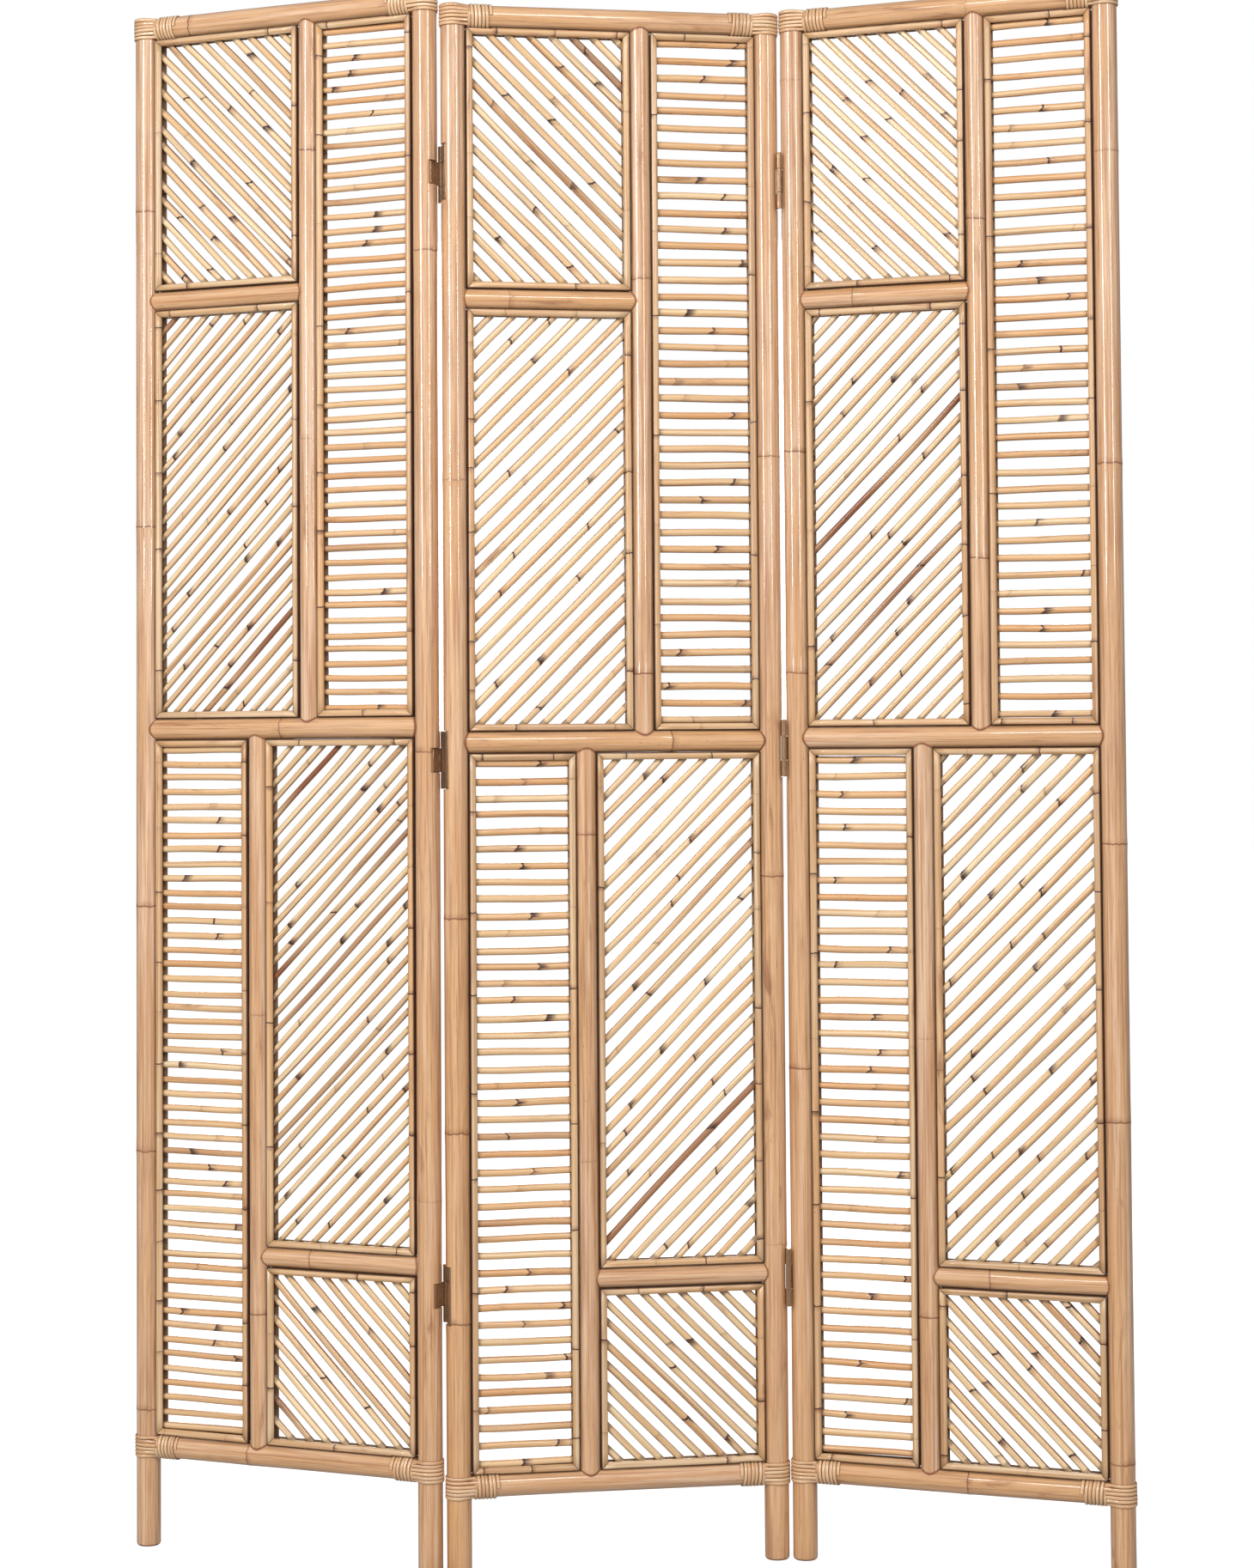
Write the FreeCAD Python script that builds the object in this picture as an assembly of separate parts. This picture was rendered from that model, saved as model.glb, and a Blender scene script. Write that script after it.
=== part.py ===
import FreeCAD, Part
import math
import os

# A folding partition screen: three panels of rattan poles, each filled with six grilles of
# thin rattan rods, and hinged to its neighbour by three butt hinges.
# Each panel is built in a frame of its own (x across, y to the back, z up from the floor,
# its middle at x = 0) and is then turned into its place. All lengths are in millimetres.

V = FreeCAD.Vector
UP = V(0, 0, 1)
PANELS = ("left", "middle", "right")
BACK = 1
FRONT = -1

# Panel frame
panel_height = 1797.0
stile_spacing = 367.0
stile_radius = 14.5
stile_end_chamfer = 2.0
outer_rail_radius = 13.5
middle_rail_radius = 13.0
mullion_radius = 12.5
crossbar_radius = 12.0
mullion_offset = 34.0
bottom_rail_height = 105.7
middle_rail_share = 0.5014
upper_crossbar_share = 0.6089
lower_crossbar_share = 0.2722
cope_clearance = 0.15

# Feet were trimmed by hand, so each frame sits a little higher or lower than the nominal one
left_rise = 11.0
middle_rise = -7.0
right_rise = -4.0

# Brads that hold each coped end to the pole it meets
brad_width = 2.2
brad_bite = 22.0
brad_set = 5.0

# Grilles of rods, held between a front and a back frame of mitred beading
slat_width = 7.2
slat_thickness = 7.2
slat_end_gap = 2.2
slat_side_gap = 0.2
shortest_slat = 12.0
slanted_pitch = 17.0
bead_width = 8.2
bead_thickness = 6.0
bead_seat_gap = 0.15
mitre_gap = 0.1

# Rods in the upper and the lower tall grille of each panel
level_slat_counts = {"left": (48, 48), "middle": (41, 42), "right": (41, 41)}
# Spacing of the slanted rods: upper short, upper long, lower long and lower short grille
slanted_pitch_shares = {
    "left": (0.906, 0.847, 0.859, 0.953),
    "middle": (1.035, 1.047, 1.059, 0.994),
    "right": (0.976, 1.018, 1.100, 0.959),
}

# Bindings of rattan peel at the four corners of each panel
peel_thickness = 1.3
peel_width = 4.8
peel_pitch = 5.4
peel_turns = 4
peel_bend_deg = 30.0
peel_gap = 0.15
strap_edge_inset = 0.7
strap_run = 15.2

# Hinges
hinge_height = 65.5
inner_leaf_height = 27.5
knuckle_gap = 0.25
barrel_radius = 3.25
pin_radius = 1.75
pin_fit = 0.05
leaf_thickness = 1.3
leaf_tilt_deg = 3.0
outer_leaf_reach = 26.5
leaf_spine = 2.6
leaf_nest_gap = 0.4
barrel_side_inset = 3.45
barrel_strap_gap = 0.55
recess_gap = 0.5
screw_head_radius = 2.6
screw_head_height = 1.2
screw_shank_radius = 1.2
screw_length = 11.0
screw_reach = 13.5
screw_rise = 7.2
screw_hole_gap = 0.1
screw_sides = 6

# Hinge heights as shares of the panel's height, top to bottom
left_hinge_shares = (0.8876, 0.5120, 0.1747)
right_hinge_shares = (0.8859, 0.5181, 0.1797)

# How far the side panels stand folded, about the vertical
left_fold_deg = 31.4
right_fold_deg = 29.0

# Places worked out from the sizes above
stile_x = stile_spacing / 2
top_rail_z = panel_height - outer_rail_radius
middle_rail_z = bottom_rail_height + middle_rail_share * (top_rail_z - bottom_rail_height)
upper_crossbar_z = middle_rail_z + upper_crossbar_share * (top_rail_z - middle_rail_z)
lower_crossbar_z = bottom_rail_height + lower_crossbar_share * (middle_rail_z - bottom_rail_height)
bead_depth = slat_thickness / 2 + slat_side_gap
steps_per_turn = round(360 / peel_bend_deg)
strap_height = 2 * (outer_rail_radius - strap_edge_inset)
strap_radius = max(stile_radius, outer_rail_radius) + peel_gap + peel_thickness
barrel_depth_offset = strap_radius + barrel_strap_gap
hinge_x = stile_x + strap_radius - barrel_side_inset
inner_leaf_reach = outer_leaf_reach - leaf_spine - leaf_nest_gap
rises = {"left": left_rise, "middle": middle_rise, "right": right_rise}


class Pole:
    """A round pole from start to end, whose ends are coped over the poles it meets."""

    def __init__(self, start, end, radius, mates=()):
        self.start = start
        self.end = end
        self.radius = radius
        self.mates = mates

    def cylinder(self, margin=0.0):
        run = self.end - self.start
        return Part.makeCylinder(self.radius + margin, run.Length, self.start, run)

    def solid(self, poles):
        shape = self.cylinder()
        for mate in self.mates:
            shape = shape.cut(poles[mate].cylinder(cope_clearance))
        return shape


def panel_poles(rise):
    """The nine poles of one panel, by name."""
    def point(x, z):
        return V(x, 0, z + rise)

    def stile(x):
        return Pole(V(x, 0, 0), point(x, panel_height), stile_radius)

    def rail(z, radius):
        return Pole(point(-stile_x, z), point(stile_x, z), radius, ("left_stile", "right_stile"))

    return {
        "left_stile": stile(-stile_x),
        "right_stile": stile(stile_x),
        "top_rail": rail(top_rail_z, outer_rail_radius),
        "middle_rail": rail(middle_rail_z, middle_rail_radius),
        "bottom_rail": rail(bottom_rail_height, outer_rail_radius),
        "upper_mullion": Pole(point(mullion_offset, middle_rail_z), point(mullion_offset, top_rail_z),
                              mullion_radius, ("middle_rail", "top_rail")),
        "lower_mullion": Pole(point(-mullion_offset, bottom_rail_height),
                              point(-mullion_offset, middle_rail_z),
                              mullion_radius, ("bottom_rail", "middle_rail")),
        "upper_crossbar": Pole(point(-stile_x, upper_crossbar_z), point(mullion_offset, upper_crossbar_z),
                               crossbar_radius, ("left_stile", "upper_mullion")),
        "lower_crossbar": Pole(point(-mullion_offset, lower_crossbar_z), point(stile_x, lower_crossbar_z),
                               crossbar_radius, ("lower_mullion", "right_stile")),
    }


# Each grille: the poles at its left, right, bottom and top, and which way its rods rise
LEVEL = 0
RISING = 1
FALLING = -1
GRILLES = {
    "upper_left_short": ("left_stile", "upper_mullion", "upper_crossbar", "top_rail", FALLING),
    "upper_left_long": ("left_stile", "upper_mullion", "middle_rail", "upper_crossbar", RISING),
    "upper_right_tall": ("upper_mullion", "right_stile", "middle_rail", "top_rail", LEVEL),
    "lower_left_tall": ("left_stile", "lower_mullion", "bottom_rail", "middle_rail", LEVEL),
    "lower_right_long": ("lower_mullion", "right_stile", "lower_crossbar", "middle_rail", RISING),
    "lower_right_short": ("lower_mullion", "right_stile", "bottom_rail", "lower_crossbar", FALLING),
}
LEVEL_GRILLES = ("upper_right_tall", "lower_left_tall")
SLANTED_GRILLES = ("upper_left_short", "upper_left_long", "lower_right_long", "lower_right_short")


def opening(poles, grille, seat):
    """Left, right, bottom and top of a grille's opening, where seat(radius) is a pole's half width."""
    left, right, bottom, top, slope = GRILLES[grille]
    return (poles[left].start.x + seat(poles[left].radius),
            poles[right].start.x - seat(poles[right].radius),
            poles[bottom].start.z + seat(poles[bottom].radius),
            poles[top].start.z - seat(poles[top].radius))


def plate(points, front, thickness):
    """A flat piece with the outline points, given as (x, z), from y = front to the back."""
    outline = [V(x, front, z) for x, z in points]
    return Part.Face(Part.makePolygon(outline + outline[:1])).extrude(V(0, thickness, 0))


def clipped(points, limits):
    """The outline points, as (x, z), cut down to the rectangle limits."""
    left, right, bottom, top = limits
    for axis, limit, sign in ((0, left, 1), (0, right, -1), (1, bottom, 1), (1, top, -1)):
        kept = []
        for index, end in enumerate(points):
            start = points[index - 1]
            start_room = sign * (start[axis] - limit)
            end_room = sign * (end[axis] - limit)
            if start_room * end_room < 0:
                share = start_room / (start_room - end_room)
                kept.append(tuple(a + share * (b - a) for a, b in zip(start, end)))
            if end_room >= 0:
                kept.append(end)
        points = kept
    return points


def outline_area(points):
    total = 0.0
    for index, (x, z) in enumerate(points):
        last_x, last_z = points[index - 1]
        total += last_x * z - x * last_z
    return abs(total) / 2


def level_slats(limits, count):
    """Level rods, evenly spread over the opening."""
    left, right, bottom, top = limits
    pitch = (top - bottom) / count
    slats = []
    for index in range(count):
        middle = bottom + (index + 0.5) * pitch
        low = middle - slat_width / 2
        high = middle + slat_width / 2
        outline = [(left, low), (right, low), (right, high), (left, high)]
        slats.append(plate(outline, -slat_thickness / 2, slat_thickness))
    return slats


def slanted_slats(limits, slope, pitch):
    """Rods at 45 degrees, cut to the opening; the bits too short to be held are left out."""
    left, right, bottom, top = limits
    middle = ((left + right) / 2, (bottom + top) / 2)
    along = V(1, slope, 0).normalize()
    across = V(-slope, 1, 0).normalize()
    half_reach = (right - left + top - bottom) / 2
    half_rows = int(half_reach * along.x / pitch)
    slats = []
    for row in range(-half_rows, half_rows + 1):
        corners = []
        for run, side in ((-1, -1), (1, -1), (1, 1), (-1, 1)):
            step = along * (run * half_reach * 2) + across * (row * pitch + side * slat_width / 2)
            corners.append((middle[0] + step.x, middle[1] + step.y))
        outline = clipped(corners, limits)
        if len(outline) > 2 and outline_area(outline) > slat_width * shortest_slat:
            slats.append(plate(outline, -slat_thickness / 2, slat_thickness))
    return slats


def slat_limits(poles, grille):
    return opening(poles, grille, lambda radius: radius + slat_end_gap)


def bead_strips(poles, grille, front):
    """Four mitred strips of beading round one opening, on its front or its back."""
    def seat(radius):
        return math.sqrt(radius ** 2 - bead_depth ** 2) + bead_seat_gap

    left, right, bottom, top = opening(poles, grille, seat)
    start = -bead_depth - bead_thickness if front else bead_depth
    strips = []
    for edge, inward in ((bottom, 1), (top, -1)):
        inner = edge + inward * bead_width
        outline = [(left + mitre_gap, edge), (right - mitre_gap, edge),
                   (right - mitre_gap - bead_width, inner), (left + mitre_gap + bead_width, inner)]
        strips.append(plate(outline, start, bead_thickness))
    for edge, inward in ((left, 1), (right, -1)):
        inner = edge + inward * bead_width
        outline = [(edge, bottom + mitre_gap), (edge, top - mitre_gap),
                   (inner, top - mitre_gap - bead_width), (inner, bottom + mitre_gap + bead_width)]
        strips.append(plate(outline, start, bead_thickness))
    return strips


def corners(poles):
    """Each bound corner of a panel: its stile, its rail and the side that the stile is on."""
    return [(poles[stile], poles[rail], side)
            for stile, side in (("left_stile", -1), ("right_stile", 1))
            for rail in ("top_rail", "bottom_rail")]


def binding_reliefs(poles):
    """Room in the beading for the turns of peel that it lies beside."""
    outer = math.sqrt((outer_rail_radius + winding_height()) ** 2 - bead_depth ** 2) + bead_seat_gap
    length = strap_run + 2 * peel_gap + peel_width + peel_turns * peel_pitch
    reliefs = []
    for stile, rail, side in corners(poles):
        left = min(stile.start.x, stile.start.x - side * length)
        low = V(left, -stile_radius, rail.start.z - outer)
        reliefs.append(Part.makeBox(length, 2 * stile_radius, 2 * outer, low))
    return reliefs


def beading(poles, front):
    strips = [strip for grille in GRILLES for strip in bead_strips(poles, grille, front)]
    reliefs = binding_reliefs(poles)
    trimmed = []
    for strip in strips:
        for relief in reliefs:
            if strip.BoundBox.intersect(relief.BoundBox):
                strip = strip.cut(relief)
        trimmed.append(strip)
    return trimmed


def peel_strap(stile, rail, side):
    """The strands that pass from the rail's front round the stile to the rail's back."""
    inner = max(stile.radius, rail.radius) + peel_gap
    outer = inner + peel_thickness
    run = -side * strap_run
    edges = [
        Part.LineSegment(V(run, -outer, 0), V(0, -outer, 0)),
        Part.Arc(V(0, -outer, 0), V(side * outer, 0, 0), V(0, outer, 0)),
        Part.LineSegment(V(0, outer, 0), V(run, outer, 0)),
        Part.LineSegment(V(run, outer, 0), V(run, inner, 0)),
        Part.LineSegment(V(run, inner, 0), V(0, inner, 0)),
        Part.Arc(V(0, inner, 0), V(side * inner, 0, 0), V(0, -inner, 0)),
        Part.LineSegment(V(0, -inner, 0), V(run, -inner, 0)),
        Part.LineSegment(V(run, -inner, 0), V(run, -outer, 0)),
    ]
    face = Part.Face(Part.Wire([edge.toShape() for edge in edges]))
    strap = face.extrude(UP * strap_height)
    strap.translate(V(stile.start.x, 0, rail.start.z - strap_height / 2))
    return strap


def winding_height():
    """How far the winding's corners stand out from the rail: its flats clear it by the gap."""
    flat = math.cos(math.pi / steps_per_turn)
    return (outer_rail_radius + peel_gap + peel_thickness) / flat - outer_rail_radius


def peel_winding(stile, rail, side):
    """The strand of peel wound round the rail's end, with its flat side on the rail."""
    flat = math.cos(math.pi / steps_per_turn)
    low = (rail.radius + peel_gap) / flat
    high = (rail.radius + peel_gap + peel_thickness) / flat
    start = V(stile.start.x - side * (strap_run + peel_gap + peel_width / 2), 0, rail.start.z)
    along = V(-side, 0, 0)
    sections = []
    for step in range(steps_per_turn * peel_turns + 1):
        turn = step / steps_per_turn
        out = V(0, math.cos(2 * math.pi * turn), math.sin(2 * math.pi * turn))
        middle = start + along * (peel_pitch * turn)
        points = [middle + out * low - along * (peel_width / 2), middle + out * high,
                  middle + out * low + along * (peel_width / 2)]
        sections.append(Part.makePolygon(points + points[:1]))
    return Part.makeLoft(sections, True, True)


def brad(mate, pole, point, inward):
    """A square brad driven through the mate, at point, into the end of the pole."""
    length = 2 * mate.radius - brad_set + brad_bite
    half = brad_width / 2
    bar = Part.makeBox(brad_width, brad_width, length, V(-half, -half, 0))
    start = point - inward * (mate.radius - brad_set)
    bar.Placement = FreeCAD.Placement(start, FreeCAD.Rotation(UP, inward))
    return bar


def brads(poles):
    bars = []
    for pole in poles.values():
        if not pole.mates:
            continue
        inward = (pole.end - pole.start).normalize()
        first, last = (poles[name] for name in pole.mates)
        bars.append(brad(first, pole, pole.start, inward))
        bars.append(brad(last, pole, pole.end, -inward))
    return bars


class HingeSide:
    """One side of a hinge line: its stile's side, and whether the barrel is at the back or front."""

    def __init__(self, side, face):
        tilt = math.radians(leaf_tilt_deg)
        self.axis = V(side * hinge_x, face * barrel_depth_offset, 0)
        self.outward = V(side * math.cos(tilt), -face * math.sin(tilt), 0)
        self.along = V(-side * math.sin(tilt), -face * math.cos(tilt), 0)

    def slab(self, reach_from, reach_to, depth_from, depth_to, low, high):
        """A block along the leaf, between two depths below the leaf's outer face."""
        corners = [self.axis + self.along * reach - self.outward * depth
                   for reach, depth in ((reach_from, depth_from), (reach_to, depth_from),
                                        (reach_to, depth_to), (reach_from, depth_to))]
        outline = [V(corner.x, corner.y, low) for corner in corners]
        return Part.Face(Part.makePolygon(outline + outline[:1])).extrude(UP * (high - low))

    def knuckle(self, low, high):
        centre = V(self.axis.x, self.axis.y, low)
        return Part.makeCylinder(barrel_radius, high - low, centre)

    def bore(self, low, high):
        centre = V(self.axis.x, self.axis.y, low)
        return Part.makeCylinder(pin_radius + pin_fit, high - low, centre)

    def screw(self, z, margin=0.0):
        """A countersunk screw through the leaf, or its hole where a margin is given."""
        def ring(depth, radius):
            centre = self.axis + self.along * screw_reach + UP * z - self.outward * depth
            across = UP
            beside = self.along
            points = []
            for index in range(screw_sides):
                angle = 2 * math.pi * index / screw_sides
                points.append(centre + across * (radius * math.cos(angle))
                              + beside * (radius * math.sin(angle)))
            return Part.makePolygon(points + points[:1])

        head = Part.makeLoft([ring(0, screw_head_radius + margin),
                              ring(screw_head_height, screw_shank_radius + margin)], True, True)
        shank = Part.makeLoft([ring(screw_head_height, screw_shank_radius + margin),
                               ring(screw_length, screw_shank_radius + margin)], True, True)
        return head.fuse(shank)


def inner_leaf(line, z):
    half = inner_leaf_height / 2
    leaf = line.slab(0, inner_leaf_reach, 0, leaf_thickness, z - half, z + half)
    leaf = leaf.fuse(line.knuckle(z - half, z + half))
    leaf = leaf.cut(line.bore(z - half, z + half))
    for screw_z in inner_screw_heights(z):
        leaf = leaf.cut(line.screw(screw_z, screw_hole_gap))
    return leaf


def inner_screw_heights(z):
    return (z - screw_rise, z + screw_rise)


def outer_screw_heights(z):
    middle = (hinge_height / 2 + inner_leaf_height / 2) / 2
    return (z - middle, z + middle)


def outer_leaf(line, z):
    half = hinge_height / 2
    notch = inner_leaf_height / 2 + knuckle_gap
    leaf = line.slab(0, outer_leaf_reach, 0, leaf_thickness, z - half, z + half)
    leaf = leaf.fuse(line.knuckle(z - half, z + half))
    leaf = leaf.cut(line.slab(-2 * barrel_radius, outer_leaf_reach - leaf_spine,
                              -2 * barrel_radius, 2 * barrel_radius, z - notch, z + notch))
    leaf = leaf.cut(line.bore(z - half, z + half))
    for screw_z in outer_screw_heights(z):
        leaf = leaf.cut(line.screw(screw_z, screw_hole_gap))
    return leaf


def hinge_pin(line, z):
    centre = V(line.axis.x, line.axis.y, z - hinge_height / 2)
    return Part.makeCylinder(pin_radius, hinge_height, centre)


def recess(line, z, height):
    """The flat that is planed on the stile under a leaf."""
    return line.slab(-stile_radius, 3 * stile_radius, leaf_thickness, -stile_radius,
                     z - height / 2 - recess_gap, z + height / 2 + recess_gap)


# The hinge lines: the left joint's barrels are at the back, the right joint's at the front
left_panel_line = HingeSide(1, BACK)
middle_left_line = HingeSide(-1, BACK)
middle_right_line = HingeSide(1, FRONT)
right_panel_line = HingeSide(-1, FRONT)
left_hinges = [share * panel_height for share in left_hinge_shares]
right_hinges = [share * panel_height for share in right_hinge_shares]


def stile_solid(pole):
    shape = pole.cylinder()
    return shape.makeChamfer(stile_end_chamfer, [edge for edge in shape.Edges if edge.Closed])


def with_recesses(stile, line, heights, leaf_height):
    for z in heights:
        stile = stile.cut(recess(line, z, leaf_height))
    return stile


def panel_nodes(panel):
    """Every node of one panel but its hinges, in the panel's own frame."""
    poles = panel_poles(rises[panel])
    nodes = {name: [pole.solid(poles)] for name, pole in poles.items() if pole.mates}
    stiles = {name: stile_solid(poles[name]) for name in ("left_stile", "right_stile")}
    if panel == "left":
        stiles["right_stile"] = with_recesses(stiles["right_stile"], left_panel_line,
                                              left_hinges, inner_leaf_height)
    if panel == "middle":
        stiles["left_stile"] = with_recesses(stiles["left_stile"], middle_left_line,
                                             left_hinges, hinge_height)
        stiles["right_stile"] = with_recesses(stiles["right_stile"], middle_right_line,
                                              right_hinges, hinge_height)
    if panel == "right":
        stiles["left_stile"] = with_recesses(stiles["left_stile"], right_panel_line,
                                             right_hinges, inner_leaf_height)
    for name, stile in stiles.items():
        nodes[name] = [stile]

    nodes["brads"] = brads(poles)
    nodes["front_beading"] = beading(poles, True)
    nodes["back_beading"] = beading(poles, False)
    nodes["level_slats"] = [slat for grille, count in zip(LEVEL_GRILLES, level_slat_counts[panel])
                            for slat in level_slats(slat_limits(poles, grille), count)]
    nodes["slanted_slats"] = [slat for grille, share in zip(SLANTED_GRILLES, slanted_pitch_shares[panel])
                              for slat in slanted_slats(slat_limits(poles, grille), GRILLES[grille][4],
                                                        share * slanted_pitch)]
    nodes["binding_straps"] = [peel_strap(*corner) for corner in corners(poles)]
    nodes["binding_turns"] = [peel_winding(*corner) for corner in corners(poles)]
    return {panel + "_" + name: solids for name, solids in nodes.items()}


def hinge_nodes(joint, inner_line, outer_line, heights):
    """The hinges of one joint, as nodes of the outer leaves' panel and of the inner leaves' panel."""
    outer_nodes = {
        joint + "_hinge_outer_leaves": [outer_leaf(outer_line, z) for z in heights],
        joint + "_hinge_pins": [hinge_pin(outer_line, z) for z in heights],
        joint + "_hinge_outer_screws": [outer_line.screw(screw_z) for z in heights
                                        for screw_z in outer_screw_heights(z)],
    }
    inner_nodes = {
        joint + "_hinge_inner_leaves": [inner_leaf(inner_line, z) for z in heights],
        joint + "_hinge_inner_screws": [inner_line.screw(screw_z) for z in heights
                                        for screw_z in inner_screw_heights(z)],
    }
    return outer_nodes, inner_nodes


def placements():
    """Where each panel stands: the side panels are turned about their barrels."""
    turns = {"left": -left_fold_deg, "middle": 0.0, "right": -right_fold_deg}
    hinge_points = {"left": middle_left_line.axis, "middle": V(0, 0, 0), "right": middle_right_line.axis}
    own_points = {"left": left_panel_line.axis, "middle": V(0, 0, 0), "right": right_panel_line.axis}
    placed = {}
    for panel in PANELS:
        turn = FreeCAD.Rotation(UP, turns[panel])
        placed[panel] = FreeCAD.Placement(hinge_points[panel] - turn.multVec(own_points[panel]), turn)
    end_stiles = (placed["left"].multVec(V(-stile_x, 0, 0)) + placed["right"].multVec(V(stile_x, 0, 0)))
    shift = FreeCAD.Placement(end_stiles * -0.5, FreeCAD.Rotation())
    return {panel: shift.multiply(place) for panel, place in placed.items()}


def build():
    nodes = {panel: panel_nodes(panel) for panel in PANELS}
    outer, inner = hinge_nodes("left", left_panel_line, middle_left_line, left_hinges)
    nodes["middle"].update(outer)
    nodes["left"].update(inner)
    outer, inner = hinge_nodes("right", right_panel_line, middle_right_line, right_hinges)
    nodes["middle"].update(outer)
    nodes["right"].update(inner)
    places = placements()
    shapes = {}
    for panel in PANELS:
        for name, solids in nodes[panel].items():
            for solid in solids:
                solid.Placement = places[panel].multiply(solid.Placement)
            shapes[name] = solids[0] if len(solids) == 1 else Part.Compound(solids)
    for joint, line, panel in (("left", middle_left_line, "middle"), ("right", middle_right_line, "middle")):
        axis = places[panel].multVec(line.axis)
        print("%s joint axis at x %.3f, y %.3f" % (joint, axis.x, axis.y))
    return shapes


if __name__ == "__main__":
    os.makedirs("parts", exist_ok=True)
    for node, shape in build().items():
        shape.exportStep(os.path.join("parts", node + ".step"))
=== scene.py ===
import math
import random

import bmesh
import bpy
from mathutils import Matrix, Vector


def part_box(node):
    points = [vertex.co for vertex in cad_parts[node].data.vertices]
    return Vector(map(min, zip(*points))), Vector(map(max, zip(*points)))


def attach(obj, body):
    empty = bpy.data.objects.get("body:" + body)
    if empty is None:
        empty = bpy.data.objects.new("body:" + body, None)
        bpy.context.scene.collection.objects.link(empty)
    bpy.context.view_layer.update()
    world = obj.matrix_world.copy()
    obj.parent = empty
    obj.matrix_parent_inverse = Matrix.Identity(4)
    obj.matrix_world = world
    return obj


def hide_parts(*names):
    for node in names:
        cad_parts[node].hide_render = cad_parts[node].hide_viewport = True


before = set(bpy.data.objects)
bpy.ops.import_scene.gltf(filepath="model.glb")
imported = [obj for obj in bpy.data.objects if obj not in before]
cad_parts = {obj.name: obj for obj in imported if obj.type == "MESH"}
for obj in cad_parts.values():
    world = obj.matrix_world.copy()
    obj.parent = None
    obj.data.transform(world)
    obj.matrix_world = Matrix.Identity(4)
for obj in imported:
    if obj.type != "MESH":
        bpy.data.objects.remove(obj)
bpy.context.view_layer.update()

bl_info = {
    "name": "Rattan Partition Screen",
    "version": (1, 0, 0),
    "blender": (4, 5, 0),
    "location": "View3D > Sidebar > Screen",
    "description": "Dresses a three-panel folding rattan screen and its studio",
    "category": "Object",
}

UP = Vector((0, 0, 1))
BODIES = {"left": "left_panel", "middle": "root", "right": "right_panel"}
STILES = ("left_stile", "right_stile")
# What each coped pole meets at its left or lower end, and at its other end
MATES = {
    "top_rail": STILES,
    "middle_rail": STILES,
    "bottom_rail": STILES,
    "upper_mullion": ("middle_rail", "top_rail"),
    "lower_mullion": ("bottom_rail", "middle_rail"),
    "upper_crossbar": ("left_stile", "upper_mullion"),
    "lower_crossbar": ("lower_mullion", "right_stile"),
}
POLE_NAMES = (*STILES, *MATES)
# Poles at the left, right, bottom and top of each grille
GRILLES = {
    "upper_left_short": ("left_stile", "upper_mullion", "upper_crossbar", "top_rail"),
    "upper_left_long": ("left_stile", "upper_mullion", "middle_rail", "upper_crossbar"),
    "upper_right_tall": ("upper_mullion", "right_stile", "middle_rail", "top_rail"),
    "lower_left_tall": ("left_stile", "lower_mullion", "bottom_rail", "middle_rail"),
    "lower_right_long": ("lower_mullion", "right_stile", "lower_crossbar", "middle_rail"),
    "lower_right_short": ("lower_mullion", "right_stile", "bottom_rail", "lower_crossbar"),
}
# Corners bound with peel: the stile, the rail, and the side of the panel
BOUND_CORNERS = [(stile, rail, side) for stile, side in zip(STILES, (-1, 1))
                 for rail in ("top_rail", "bottom_rail")]
# For each joint: the face with its barrels, 1 at the back and -1 at the front, then the panel
# and the side of it that carry the outer leaves, and those that carry the inner leaves
HINGES = {
    "left": (1, ("middle", -1), ("left", 1)),
    "right": (-1, ("middle", 1), ("right", -1)),
}
# Growth rings that stand out on the stiles, as heights in metres
STILE_RINGS = {
    "left_right_stile": (1.505, 0.93, 0.42),
    "middle_left_stile": (1.24, 0.740, 0.497, 0.283),
    "middle_right_stile": (1.27, 0.783, 0.36),
}
# Girth of the rods in each grille, as shares of the rods' girth in the sizes
ROD_SHARES = {
    "left": {"upper_left_short": 1.17, "upper_left_long": 0.95, "upper_right_tall": 1.13,
             "lower_left_tall": 1.20, "lower_right_long": 0.96, "lower_right_short": 1.13},
    "middle": {"upper_left_short": 1.22, "upper_left_long": 1.13, "upper_right_tall": 1.25,
               "lower_left_tall": 1.25, "lower_right_long": 1.13, "lower_right_short": 1.18},
    "right": {"upper_left_short": 1.17, "upper_left_long": 1.02, "upper_right_tall": 1.18,
              "lower_left_tall": 1.25, "lower_right_long": 1.18, "lower_right_short": 1.18},
}
# How far each pole's colour goes from pale to golden, at its start and at its end
POLE_WARMTH = {
    "left_stile": (0.35, 0.1), "right_stile": (0.3, 0.25), "top_rail": (0.6, 0.45),
    "middle_rail": (0.55, 0.7), "bottom_rail": (0.6, 0.6), "upper_mullion": (0.15, 0.1),
    "lower_mullion": (0.25, 0.2), "upper_crossbar": (0.75, 0.7), "lower_crossbar": (0.6, 0.6),
    "middle_left_stile": (1.0, 0.2), "right_left_stile": (0.6, 0.2),
}
# Each soft lamp: degrees to the right of the camera, distance, lift, width, height and power
LAMPS = {
    "Key lamp": (-42, 3.2, 1.1, 0.2, 1.6, "key_power"),
    "Fill lamp": (33, 3.4, 1.1, 0.2, 1.6, "fill_power"),
    "Top lamp": (-4, 2.7, 2.1, 2.4, 0.4, "top_power"),
    "Low lamp": (-12, 3.4, -0.55, 2.2, 0.5, "low_power"),
    "Back lamp": (180, 3.2, 0.5, 2.6, 1.2, "back_power"),
}
LAMP_AIM = Vector((0, 0, 0.95))
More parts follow.
